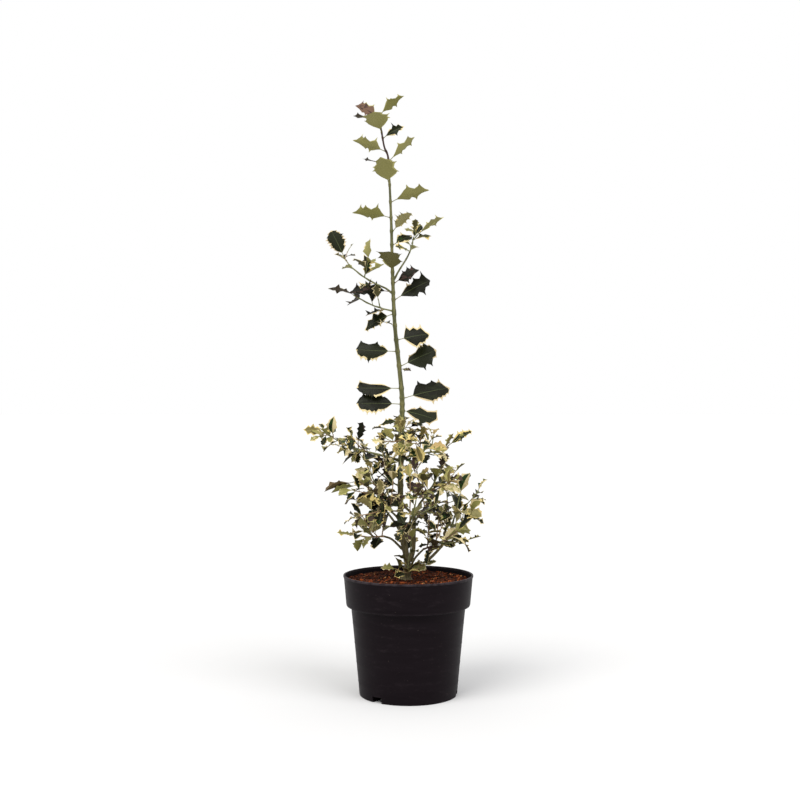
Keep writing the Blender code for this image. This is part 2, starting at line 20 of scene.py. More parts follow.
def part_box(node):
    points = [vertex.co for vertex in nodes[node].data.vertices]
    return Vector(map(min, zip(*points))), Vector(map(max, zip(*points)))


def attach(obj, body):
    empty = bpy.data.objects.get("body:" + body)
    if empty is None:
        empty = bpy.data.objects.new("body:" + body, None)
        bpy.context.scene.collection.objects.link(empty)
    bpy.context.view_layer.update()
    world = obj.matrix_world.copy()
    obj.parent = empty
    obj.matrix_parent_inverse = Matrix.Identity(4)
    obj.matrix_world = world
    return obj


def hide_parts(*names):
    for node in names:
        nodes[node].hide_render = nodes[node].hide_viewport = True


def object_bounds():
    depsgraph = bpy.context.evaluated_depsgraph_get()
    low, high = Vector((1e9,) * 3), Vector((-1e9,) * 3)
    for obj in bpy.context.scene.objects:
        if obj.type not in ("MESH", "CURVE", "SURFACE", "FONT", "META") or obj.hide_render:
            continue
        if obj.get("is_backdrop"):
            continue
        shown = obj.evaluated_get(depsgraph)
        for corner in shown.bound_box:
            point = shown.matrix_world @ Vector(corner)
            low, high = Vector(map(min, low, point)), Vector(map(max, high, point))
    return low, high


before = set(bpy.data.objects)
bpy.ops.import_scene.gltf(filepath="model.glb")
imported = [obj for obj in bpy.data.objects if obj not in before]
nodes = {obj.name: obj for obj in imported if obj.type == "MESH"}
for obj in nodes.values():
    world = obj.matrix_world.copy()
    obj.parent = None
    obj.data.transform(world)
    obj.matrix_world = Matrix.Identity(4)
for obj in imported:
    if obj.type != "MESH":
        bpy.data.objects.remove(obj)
cad_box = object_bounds()
MM = 0.001
UP = Vector((0, 0, 1))
print("CAD nodes:", len(nodes))

# %% [markdown]
# ## Camera, light and floor
#
# The plant was photographed level, from a little under half its height, against white. A long lens
# from 1.7 m away gives the same flat perspective. Two wide soft sources stand above and in front,
# left and right, and a white room does the rest. The sources are as good as endlessly far, so the
# pale floor comes out one even white as far as it goes, and only the plant's own soft shadow
# darkens it.

# %% Camera
CAMERA_HEIGHT = 429 * MM
CAMERA_ASIDE = -12.1 * MM
CAMERA_DISTANCE = 1.69
FOCAL_LENGTH = 52
SENSOR_WIDTH = 36

lens = bpy.data.cameras.new("lens")
lens.lens = FOCAL_LENGTH
lens.sensor_width = SENSOR_WIDTH
camera = bpy.data.objects.new("camera", lens)
camera.location = (CAMERA_ASIDE, -CAMERA_DISTANCE, CAMERA_HEIGHT)
camera.rotation_euler = (math.radians(90), 0, 0)
bpy.context.scene.collection.objects.link(camera)
bpy.context.scene.camera = camera


# %% Lights
LIGHT_AIM = Vector((0, 0, 0.4))


def soft_light(name, place, spread, strength, tint=(1, 1, 1)):
    """A wide soft source, far off in the direction of a place, that shines on the plant."""
    lamp = bpy.data.lights.new(name, "SUN")
    lamp.angle = math.radians(spread)
    lamp.energy = strength
    lamp.color = tint
    light = bpy.data.objects.new(name, lamp)
    light.location = place
    light.rotation_euler = (LIGHT_AIM - Vector(place)).to_track_quat("-Z", "Y").to_euler()
    bpy.context.scene.collection.objects.link(light)


soft_light("key", (-1.0, -1.2, 2.3), 36, 2.3, (1, 0.985, 0.96))
soft_light("fill", (1.2, -1.2, 2.1), 40, 1.6, (0.99, 0.985, 1))

world = bpy.data.worlds.new("studio")
bpy.context.scene.world = world
world.use_nodes = True
world.node_tree.nodes["Background"].inputs["Color"].default_value = (1, 1, 1, 1)
world.node_tree.nodes["Background"].inputs["Strength"].default_value = 1.0
bpy.context.scene.view_settings.view_transform = "Standard"


# %% [markdown]
# ## Shader maths as Python
#
# A material is a small graph. Written as node links it is hard to read, so a socket is wrapped in a
# class that adds Math nodes for plain operators. Colours go through Mix nodes.

# %% A socket that does sums
class Wire:
    """One output socket, with arithmetic that adds Math nodes."""

    def __init__(self, paint, socket):
        self.paint = paint
        self.socket = socket

    def maths(self, operation, a, b):
        return self.paint.node("ShaderNodeMath", {"operation": operation}, {0: a, 1: b})

    def __add__(self, other):
        return self.maths("ADD", self, other)

    __radd__ = __add__

    def __mul__(self, other):
        return self.maths("MULTIPLY", self, other)

    __rmul__ = __mul__

    def __sub__(self, other):
        return self.maths("SUBTRACT", self, other)

    def __rsub__(self, other):
        return self.maths("SUBTRACT", other, self)


def linear(red, green, blue):
    """A colour given as it looks on screen, 0 to 255, as the light value a shader wants."""
    shares = (red / 255, green / 255, blue / 255)
    return tuple(share / 12.92 if share <= 0.04045 else ((share + 0.055) / 1.055) ** 2.4
                 for share in shares)


class Paint:
    """A material under construction, with its Principled shader."""

    def __init__(self, name):
        self.material = bpy.data.materials.new(name)
        self.material.use_nodes = True
        self.tree = self.material.node_tree
        self.shader = self.tree.nodes["Principled BSDF"]

    def node(self, kind, settings=None, values=None, out=0):
        """Adds a node, sets it up, fills its sockets, and returns one of its outputs."""
        made = self.tree.nodes.new(kind)
        for key, value in (settings or {}).items():
            setattr(made, key, value)
        for key, value in (values or {}).items():
            self.fill(made.inputs[key], value)
        return Wire(self, made.outputs[out])

    def fill(self, socket, value):
        if isinstance(value, Wire):
            self.tree.links.new(value.socket, socket)
        elif isinstance(value, tuple) and socket.type == "RGBA":
            socket.default_value = (*value, 1)
        else:
            socket.default_value = value

    def put(self, name, value):
        self.fill(self.shader.inputs[name], value)

    def place(self, scale=(1, 1, 1)):
        """Object coordinates in metres, stretched by a scale along each axis."""
        spot = self.node("ShaderNodeTexCoord", out="Object")
        return self.node("ShaderNodeMapping", values={"Vector": spot, "Scale": scale})

    def noise(self, size, detail=3.0, scale=(1, 1, 1), roughness=0.5):
        """Noise with features of a size in metres."""
        return self.node("ShaderNodeTexNoise", values={
            "Vector": self.place(scale), "Scale": 1 / size, "Detail": detail, "Roughness": roughness})

    def ramp(self, factor, *stops):
        """Colours that follow a factor, from stops of a position and a colour as it looks on screen."""
        made = self.node("ShaderNodeValToRGB", values={"Fac": factor})
        elements = made.socket.node.color_ramp.elements
        while len(elements) < len(stops):
            elements.new(0.5)
        for element, (position, *colour) in zip(elements, stops):
            element.position = position
            element.color = (*linear(*colour), 1)
        return made

    def remap(self, factor, low, high, new_low=0.0, new_high=1.0):
        return self.node("ShaderNodeMapRange", values={
            "Value": factor, "From Min": low, "From Max": high, "To Min": new_low, "To Max": new_high})

    def blend(self, factor, low, high):
        """A mix of two colours."""
        sockets = {"Factor": factor, 6: low, 7: high}
        return self.node("ShaderNodeMix", {"data_type": "RGBA"}, sockets, out=2)

    def finish(self, colour, roughness, shine, relief=None, depth=0):
        """Fills the shader; the relief becomes bumps of a depth in metres."""
        self.put("Base Color", colour)
        self.put("Roughness", roughness)
        self.put("Specular IOR Level", shine)
        if relief:
            bumps = {"Height": relief, "Distance": depth, "Strength": 1.0}
            self.put("Normal", self.node("ShaderNodeBump", values=bumps))
        return self

    def cover(self, thing):
        """Makes this a piece's only material."""
        thing.data.materials.clear()
        thing.data.materials.append(self.material)


def grained(name, tone, size, depth, dull, spread=0.25, shine=0.5, stretch=(1, 1, 1), roughness=0.5):
    """A finish of one colour, with a fine grain in its gloss and its relief."""
    paint = Paint(name)
    grain = paint.noise(size, 3, stretch, roughness)
    return paint.finish(linear(*tone), dull + grain * spread, shine, grain, depth)


# %% Floor
FLOOR_SIZE = 60
FLOOR_GREY = 0.55
floor_paint = Paint("floor_white").finish((FLOOR_GREY, FLOOR_GREY, FLOOR_GREY), 0.9, 0.0)
bpy.ops.object.select_all(action="DESELECT")
bpy.ops.mesh.primitive_plane_add(size=FLOOR_SIZE, location=(0, 0, 0))
floor = bpy.context.object
floor.name = "floor"
floor_paint.cover(floor)
floor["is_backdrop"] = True

# %% [markdown]
# ## The pot
#
# A nursery pot is blown or injection moulded from black polypropylene: a cone with a deeper band at
# the top, a thin rolled lip, and notches at the foot for the water. It can be spun from a profile.
# Here it grows from one circle, ring by ring, as a potter pulls a wall, because each ring then has
# its own named size, and a few close rings round what the mould rounds. A Boolean cuts the notches.

# %% Pot sizes
POT_HEIGHT = 174 * MM
RIM_RADIUS = 95 * MM
LIP = 0.9 * MM
LIP_HEIGHT = 2.6 * MM
BAND_FOOT = 129 * MM
BAND_FOOT_RADIUS = 90.6 * MM
BAND_ROUND = 2.5 * MM
BODY_TOP_RADIUS = 83.7 * MM
FOOT_RADIUS = 71.4 * MM
WALL = 1.8 * MM
POT_FLOOR = 9 * MM
POT_SIDES = 160
NOTCH_SIZE = (48 * MM, 16 * MM, 17 * MM)
NOTCH_PROUD = 12 * MM
NOTCH_AZIMUTHS = (-129, -9, 111)


# %% Pulling a wall from a circle
def only(*things):
    """Makes these the only selected objects, and the first one the active one."""
    bpy.ops.object.select_all(action="DESELECT")
    for thing in things:
        thing.select_set(True)
    bpy.context.view_layer.objects.active = things[0]


def pull_wall(name, rings, sides):
    """Extrudes a circle through rings of (radius, height), and caps both ends with a disc."""
    bpy.ops.object.select_all(action="DESELECT")
    radius, height = rings[0]
    bpy.ops.mesh.primitive_circle_add(vertices=sides, radius=radius, location=(0, 0, height))
    wall = bpy.context.object
    wall.name = name
    bpy.ops.object.mode_set(mode="EDIT")
    bpy.ops.mesh.select_all(action="SELECT")
    bpy.ops.mesh.edge_face_add()
    bpy.ops.mesh.select_all(action="SELECT")
    for next_radius, next_height in rings[1:]:
        rise = {"value": (0, 0, next_height - height)}
        bpy.ops.mesh.extrude_region_move(TRANSFORM_OT_translate=rise)
        share = next_radius / radius
        bpy.ops.transform.resize(value=(share, share, 1), center_override=(0, 0, next_height))
        radius, height = next_radius, next_height
    bpy.ops.object.mode_set(mode="OBJECT")
    bpy.ops.object.transform_apply(location=True, rotation=True, scale=True)
    return wall


def face_outwards(thing):
    """Points a closed piece's faces outwards."""
    only(thing)
    bpy.ops.object.mode_set(mode="EDIT")
    bpy.ops.mesh.select_all(action="SELECT")
    bpy.ops.mesh.remove_doubles(threshold=0.005 * MM)
    bpy.ops.mesh.normals_make_consistent(inside=False)
    bpy.ops.object.mode_set(mode="OBJECT")


def body_radius(height):
    return FOOT_RADIUS + (BODY_TOP_RADIUS - FOOT_RADIUS) * height / BAND_FOOT


def band_radius(height):
    share = (height - BAND_FOOT) / (POT_HEIGHT - BAND_FOOT)
    return BAND_FOOT_RADIUS + (RIM_RADIUS - LIP - BAND_FOOT_RADIUS) * share


# %% Pull the pot up, over the lip and down inside
RIB_DEPTH = 0.25 * MM
RIB_HEIGHTS = (20, 48, 76, 104)
RIB_REACH = 1.6
outer_rings = [
    (FOOT_RADIUS - 1.2 * MM, 0), (FOOT_RADIUS - 0.35 * MM, 0.35 * MM), (FOOT_RADIUS, 1.2 * MM)]
for rib in RIB_HEIGHTS:
    for offset, swell in ((-RIB_REACH, 0), (0, RIB_DEPTH), (RIB_REACH, 0)):
        height = (rib + offset) * MM
        outer_rings.append((body_radius(height) + swell - RIB_DEPTH, height))
outer_rings += [
    (body_radius(BAND_FOOT - 3 * MM), BAND_FOOT - 3 * MM),
    (BODY_TOP_RADIUS + 0.2 * MM, BAND_FOOT - 0.8 * MM),
    (BODY_TOP_RADIUS + 1.0 * MM, BAND_FOOT),
    (BAND_FOOT_RADIUS - BAND_ROUND, BAND_FOOT),
    (BAND_FOOT_RADIUS - 0.3 * BAND_ROUND, BAND_FOOT + 0.3 * BAND_ROUND),
    (BAND_FOOT_RADIUS, BAND_FOOT + BAND_ROUND),
    (band_radius(BAND_FOOT + 20 * MM), BAND_FOOT + 20 * MM),
    (RIM_RADIUS - LIP, POT_HEIGHT - LIP_HEIGHT - LIP),
    (RIM_RADIUS - 0.2 * LIP, POT_HEIGHT - LIP_HEIGHT - 0.3 * LIP),
    (RIM_RADIUS, POT_HEIGHT - LIP_HEIGHT),
    (RIM_RADIUS, POT_HEIGHT - 0.6 * LIP),
    (RIM_RADIUS - 0.2 * LIP, POT_HEIGHT - 0.15 * LIP),
    (RIM_RADIUS - 0.6 * LIP, POT_HEIGHT),
]
inner_rings = [
    (RIM_RADIUS - LIP - WALL + 0.4 * MM, POT_HEIGHT),
    (RIM_RADIUS - LIP - WALL, POT_HEIGHT - 0.4 * MM),
    (BAND_FOOT_RADIUS - WALL, BAND_FOOT + BAND_ROUND + WALL),
    (BAND_FOOT_RADIUS - BAND_ROUND - WALL, BAND_FOOT + WALL),
    (BODY_TOP_RADIUS - WALL, BAND_FOOT + WALL),
    (body_radius(POT_FLOOR) - WALL, POT_FLOOR),
]
pot = pull_wall("moulded_pot", outer_rings + inner_rings, POT_SIDES)

# %% Cut the drain notches
for azimuth in NOTCH_AZIMUTHS:
    bpy.ops.object.select_all(action="DESELECT")
    turn = math.radians(azimuth)
    reach = FOOT_RADIUS + NOTCH_PROUD - NOTCH_SIZE[0] / 2
    spot = (reach * math.cos(turn), reach * math.sin(turn), 0)
    bpy.ops.mesh.primitive_cube_add(size=1, location=spot, rotation=(0, 0, turn), scale=NOTCH_SIZE)
    block = bpy.context.object
    bpy.ops.object.transform_apply(location=True, rotation=True, scale=True)
    only(pot)
    cut = pot.modifiers.new("Notch", "BOOLEAN")
    cut.operation = "DIFFERENCE"
    cut.object = block
    bpy.ops.object.modifier_apply(modifier=cut.name)
    bpy.data.objects.remove(block, do_unlink=True)
face_outwards(pot)
bpy.ops.object.shade_smooth_by_angle(angle=math.radians(40))
print("pot faces:", len(pot.data.polygons))

# %% [markdown]
# ### Black polypropylene
#
# The plastic is near black with a trace of purple. It isn't one even tone: the mould leaves faint
# level bands, handling leaves grey scuffs, and fine dust sits in specks. Stretched noise makes the
# bands and scuffs, and the same masks make the scuffed places duller. Thin lighter lines along the
# lip and just above the band's lower edge are painted highlights, where light catches those edges.

# %% Pot plastic
plastic = Paint("pot_plastic")
bands = plastic.noise(9 * MM, 4, scale=(0.12, 0.12, 1))
scuffs = plastic.remap(plastic.noise(16 * MM, 6, scale=(0.5, 0.5, 2.2), roughness=0.7), 0.56, 0.78)
specks = plastic.remap(plastic.noise(1.6 * MM, 2), 0.74, 0.80)
body_tone = plastic.blend(bands, linear(9, 4, 7), linear(20, 14, 18))
worn_tone = plastic.blend(scuffs * 0.3, body_tone, linear(54, 46, 50))
dusty_tone = plastic.blend(specks * 0.5, worn_tone, linear(130, 120, 110))
level = plastic.node("ShaderNodeSeparateXYZ", values={"Vector": plastic.place()}, out=2)
# Painted highlights: thin lighter lines along the lip and just above the band's lower edge, broken up
# by noise, where light catches those edges.
lip_painted_highlight = plastic.remap(level, POT_HEIGHT - 3.4 * MM, POT_HEIGHT - 2.2 * MM)
below_band = plastic.remap(level, BAND_FOOT - 0.5 * MM, BAND_FOOT + 0.5 * MM)
over_edge = plastic.remap(level, BAND_FOOT + 1.5 * MM, BAND_FOOT + 3.5 * MM, 1, 0)
patchy = plastic.remap(plastic.noise(7 * MM, 4), 0.35, 0.65, 0.25, 1)
painted_edge_highlight = (lip_painted_highlight * 0.65 + below_band * over_edge * 0.2) * patchy
plastic_tone = plastic.blend(painted_edge_highlight * 0.6, dusty_tone, linear(74, 66, 70))
plastic_relief = bands * 0.5 + scuffs * 0.3 + plastic.noise(0.9 * MM, 2) * 0.15
plastic.finish(plastic_tone, 0.42 + bands * 0.10 + scuffs * 0.22, 0.06, plastic_relief, 0.12 * MM)
plastic.cover(pot)
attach(pot, "root")
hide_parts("pot")

# %% [markdown]
# ## The potting mix
#
# Nursery mix is composted bark: dark fines with chips of every size lying on them, most of them
# flat. The fines can be a bumpy surface, but the chips need edges that catch the light, so they are
# meshes: thousands of small slabs with eight corners each, knocked out of square and laid flat or
# tilted. Chips towards the left and back are dealt darker tones as painted shade.

# %% Mix sizes and its surface
MIX_TOP = 166 * MM
MIX_LUMP = 1.6 * MM
MIX_LUMP_SIZE = 11 * MM
MIX_FLAT_RADIUS = 16 * MM
MIX_LEVEL_RADIUS = 0.6 * MIX_FLAT_RADIUS
MIX_EASE = 0.4 * MIX_FLAT_RADIUS
MIX_GRAINS = ((0.35, 3 * MM), (0.2, 1.4 * MM))
MIX_SIDES = 128
MIX_RINGS = 30
CLEAR = 0.6 * MM


def mix_height(place):
    """The height of the mix at a place, level round the stem."""
    reach = math.hypot(place.x, place.y)
    ease = min(max((reach - MIX_LEVEL_RADIUS) / MIX_EASE, 0), 1)
    flat = Vector((place.x, place.y, MIX_TOP))
    fine = sum(share * noise.noise(flat / size) for share, size in MIX_GRAINS)
    return MIX_TOP + MIX_LUMP * (ease * noise.noise(flat / MIX_LUMP_SIZE) + fine * min(1, 0.4 + ease))


mix_radius = band_radius(MIX_TOP) - WALL - CLEAR
mix_rings = [
    (body_radius(POT_FLOOR) - WALL - CLEAR, POT_FLOOR + 0.3 * MM),
    (BODY_TOP_RADIUS - WALL - CLEAR, BAND_FOOT + WALL + 0.3 * MM),
    (BAND_FOOT_RADIUS - BAND_ROUND - WALL - CLEAR, BAND_FOOT + WALL + 0.3 * MM),
    (BAND_FOOT_RADIUS - WALL - CLEAR, BAND_FOOT + WALL + BAND_ROUND + 0.9 * MM),
    (mix_radius, MIX_TOP),
]
mix = pull_wall("mix_fines", mix_rings, MIX_SIDES)
only(mix)
bpy.ops.object.mode_set(mode="EDIT")
for ring in range(MIX_RINGS - 1):
    bpy.ops.mesh.inset(thickness=mix_radius / MIX_RINGS)
bpy.ops.mesh.poke()
bpy.ops.object.mode_set(mode="OBJECT")
for corner in mix.data.vertices:
    if corner.co.z > MIX_TOP - 0.1 * MM:
        corner.co.z = mix_height(corner.co)
face_outwards(mix)
bpy.ops.object.shade_smooth_by_angle(angle=math.radians(60))

# %% Fines
fines = Paint("bark_fines")
lumps = fines.noise(6 * MM, 4)
grains = fines.noise(1.1 * MM, 3, roughness=0.7)
rich = fines.ramp(grains, (0.30, 28, 14, 10), (0.50, 66, 32, 18), (0.68, 118, 58, 28))
fines_tone = fines.blend(lumps, linear(36, 20, 15), rich)
fines.finish(fines_tone, 0.85 + grains * 0.12, 0.05, grains + lumps * 0.6, 0.9 * MM)
fines.cover(mix)
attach(mix, "root")
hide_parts("potting_mix")


# %% A pile of small shapes that becomes one mesh
class Pile:
    """Corners and faces of many small shapes, each face with the number of its finish."""

    def __init__(self):
        self.corners = []
        self.faces = []
        self.tints = []

    def add(self, corners, faces, tints):
        first = len(self.corners)
        self.corners += [tuple(corner) for corner in corners]
        self.faces += [tuple(first + index for index in face) for face in faces]
        self.tints += tints if isinstance(tints, list) else [tints] * len(faces)

    def build(self, name, paints, replaced=(), sharp=50):
        mesh = bpy.data.meshes.new(name)
        mesh.from_pydata(self.corners, [], self.faces)
        for paint in paints:
            mesh.materials.append(paint.material)
        mesh.polygons.foreach_set("material_index", self.tints)
        mesh.shade_smooth()
        mesh.set_sharp_from_angle(angle=math.radians(sharp))
        mesh.update()
        made = bpy.data.objects.new(name, mesh)
        bpy.context.scene.collection.objects.link(made)
        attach(made, "root")
        if replaced:
            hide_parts(*replaced)
        print(name, "faces:", len(self.faces))
        return made


# %% Bark chips
CHIP_COUNT = 4200
CHIP_SEED = 7
CHIP_FACES = [(0, 2, 3, 1), (4, 5, 7, 6), (0, 1, 5, 4), (2, 6, 7, 3), (0, 4, 6, 2), (1, 3, 7, 5)]
CHIP_TONES = {
    "chip_brown": (70, 36, 22), "chip_dark": (36, 21, 17), "chip_orange": (138, 70, 34),
    "chip_rust": (96, 46, 26), "chip_pale": (184, 140, 92),
}
CHIP_SHARES = (30, 18, 22, 28, 2)
# Shares of the chip tones in painted shade, towards the left and back of the mix.
SHADED_SIDE_CHIP_SHARES = (34, 44, 4, 16, 2)
CHIP_SPREAD = (0.5, 0.55)
CHIP_LARGEST = 7
CHIP_WIDTHS = (0.22, 0.4)
CHIP_HEIGHTS = (0.08, 0.16)
CHIP_KNOCKS = (0.65, 1.1)
CHIP_TILT = 0.35
STEM_REACH = 12 * MM
CHIP_BY_STEM = 2.4 * MM
WALL_STRIP = 6 * MM
CHIP_BY_WALL = 4 * MM


def add_chip(pile, rng):
    """One slab of bark, lying on the mix."""
    reach = (mix_radius - 2 * MM) * math.sqrt(rng.random())
    turn = rng.uniform(0, 2 * math.pi)
    spot = Vector((reach * math.cos(turn), reach * math.sin(turn), 0))
    size = min(rng.lognormvariate(*CHIP_SPREAD), CHIP_LARGEST) * MM
    if reach < STEM_REACH:
        size = min(size, CHIP_BY_STEM)
    tilt = rng.gauss(0, CHIP_TILT)
    if reach > mix_radius - WALL_STRIP:
        tilt *= 0.4
        size = min(size, CHIP_BY_WALL)
    half = Vector((size * 0.5, size * rng.uniform(*CHIP_WIDTHS), size * rng.uniform(*CHIP_HEIGHTS)))
    corners = []
    for up in (-1, 1):
        for aside in (-1, 1):
            for along in (-1, 1):
                corners.append(Vector(sign * length * rng.uniform(*CHIP_KNOCKS)
                                      for sign, length in zip((along, aside, up), half)))
    pose = Euler((tilt, rng.gauss(0, 0.3), rng.uniform(0, 2 * math.pi))).to_matrix()
    spot.z = mix_height(spot) + half.z * 0.6 + rng.uniform(0, 0.5) * MM
    # Painted shade: chips towards the left and back of the mix draw more of the dark tones, as if
    # shaded by the foliage and the pot's wall.
    lit = rng.uniform(-0.6, 0.6) * mix_radius < spot.x - spot.y * 0.4
    tint = rng.choices(range(len(CHIP_TONES)), CHIP_SHARES if lit else SHADED_SIDE_CHIP_SHARES)[0]
    pile.add([pose @ corner + spot for corner in corners], CHIP_FACES, tint)


chip_paints = [grained(name, tone, 0.7 * MM, 0.3 * MM, 0.7, shine=0.06, stretch=(1, 1, 2))
               for name, tone in CHIP_TONES.items()]
chip_pile = Pile()
chip_rng = random.Random(CHIP_SEED)
for chip in range(CHIP_COUNT):
    add_chip(chip_pile, chip_rng)
chip_pile.build("bark_chips", chip_paints, sharp=20)

# %% [markdown]
# ## Leader and boughs
#
# The stems grow by the same rule as in the plain model: the leader follows a smooth line through
# its bends and thins towards its tip, and each bough leaves it, or the bough that carries it, just
# clear of the bark. The numbers are written again here, because a dressed stem has to lie where its
# solid lies.

# %% Stem sizes and bends
GAP = 0.3 * MM
TRUNK_RADIUS = 5.0 * MM
TRUNK_TIP_RADIUS = 1.0 * MM
TRUNK_TAPER = 0.9
FLARE = 3.2 * MM
FLARE_HEIGHT = 6 * MM
FLARE_LOBES = 4
FLARE_DEPTH = 0.22
TRUNK_BENDS = (
    (-3, 0, 166.3), (-1, 0, 189), (-6, 1, 218), (-10.5, 2, 247), (-11.4, 3, 298), (-10, 2, 364),
    (-9, 0, 429), (-14, -2, 484), (-20, -3, 543), (-23, -2, 617), (-25, 0, 691), (-27.5, 1, 749),
    (-29.5, 1, 784), (-35, 0, 799), (-39, -1, 821), (-43, -1, 848),
)
FORK_SPREAD = 2.3 * MM
BOUGHS = {
    "second_stem": ("trunk", 196, ((7, -4, 209), (8, -5, 236), (8.3, -6, 263)), 3.4, 3.0),
    "left_mid": ("second_stem", None, ((-9, -13, 277), (-20, -16, 284)), 2.0, 1.6),
    "right_mid": ("second_stem", None, ((16, -9, 277), (24, -11, 288)), 2.0, 1.6),
    "left_low": ("trunk", 212, ((-24, -6, 226), (-36, -10, 231)), 1.9, 1.5),
    "left_high": ("trunk", 341, ((-27, -4, 345), (-42, -7, 349)), 2.3, 1.8),
    "right_high": ("trunk", 343, ((2, 4, 347), (14, 6, 351)), 2.0, 1.6),
    "right_far": ("trunk", 180, ((28, 9, 193), (48, 14, 212), (60, 16, 228)), 2.6, 1.9),
    "right_low": ("trunk", 184, ((10, -14, 200), (22, -22, 214)), 1.8, 1.5),
    "back_left": ("trunk", 236, ((-20, 20, 248), (-30, 34, 260)), 2.0, 1.6),
    "back_right": ("trunk", 226, ((4, 20, 240), (14, 34, 254)), 2.0, 1.6),
    "front_left": ("trunk", 250, ((-17, -17, 260), (-24, -29, 268)), 1.8, 1.5),
    "front_right": ("trunk", 219, ((-4, -19, 234), (1, -32, 250)), 1.8, 1.5),
    "upper_left": ("trunk", 586, ((-33, -3, 592), (-42, -4, 596)), 1.6, 1.3),
    "upper_right": ("trunk", 606, ((-14, 3, 618), (-3, 8, 636), (2, 9, 646)), 1.5, 1.2),
}

# %% Leaf and shoot sizes, which the stems' leaf nodes need too
# A leaf's height, azimuth, rise, length, width and forward tilt, then its kind, its style, and the
# spines of its upper and its lower side
LEADER_LEAVES = (
    (846, 0, 42, 44, 22, -30, "olive young pair low_pair"),
    (843, 188, 28, 37, 28, 50, "bronze old saddle low_pair"),
    (820, 255, 31, 46, 38, -40, "olive soft pair humps"),
    (838, 176, 16, 38, 16, 0, "brown young fork fork"),
    (812, -20, 28, 34, 20, 60, "dark young few pair"),
    (793, 172, 24, 50, 24, -35, "olive young saddle low_pair"),
    (780, 20, 48, 52, 22, -30, "olive young humps few"),
    (773, 188, 18, 38, 14, 0, "brown young fork fork"),
    (744, 250, 46, 50, 36, -45, "olive soft saddle pair"),
    (719, -6, 20, 57, 26, -35, "olive young humps low_pair"),
    (696, 174, 12, 55, 26, -35, "olive young saddle low_pair"),
    (676, -22, 44, 38, 24, -30, "edged spiny comb comb"),
    (656, 24, 32, 34, 22, 50, "dark spiny low_pair outer"),
    (616, 262, 38, 46, 34, -38, "olive_dark soft saddle horn"),
    (600, -14, 30, 40, 28, 50, "black spiny few low_pair"),
    (576, 2, 32, 58, 32, 55, "worn spiny horn teeth"),
    (554, 188, -27, 46, 28, 50, "old spiny shoulder outer"),
    (538, 238, 8, 44, 22, 30, "dark spiny low_pair outer"),
    (517, -10, 12, 46, 36, 70, "old old shoulder outer"),
    (500, 178, 5, 58, 32, 70, "old old flat comb"),
    (479, 6, 27, 57, 38, 60, "old old late teeth"),
    (446, 182, 3, 62, 30, 65, "old old bare outer"),
    (432, 11, 15, 71, 38, 60, "old old saddle outer"),
    (423, 186, 3, 63, 34, 65, "old old comb comb"),
    (413, -12, -12, 50, 32, 55, "old seated flat few"),
)
# Leaves that the plain model leaves out
SMALL_LEADER_LEAVES = (
    (398, 190, -8, 30, 15, 50, "dark spiny low_pair few"),
    (474, -35, -5, 17, 9, 40, "brown spiny few low_pair"),
    (587, 182, 3, 62, 25, 40, "black spiny saddle few"),
    (207, 70, 40, 36, 20, 20, "dark calm smooth three"),
    (214, 110, 35, 34, 18, 20, "olive_dark calm smooth smooth"),
)

# The masses that grow from the leader, at these heights; every other one grows from its own bough
MASS_HEIGHTS = {
    "centre_left": 304, "centre_front": 366, "centre_back": 378, "foot": 177, "upper_left_low": 559,
}
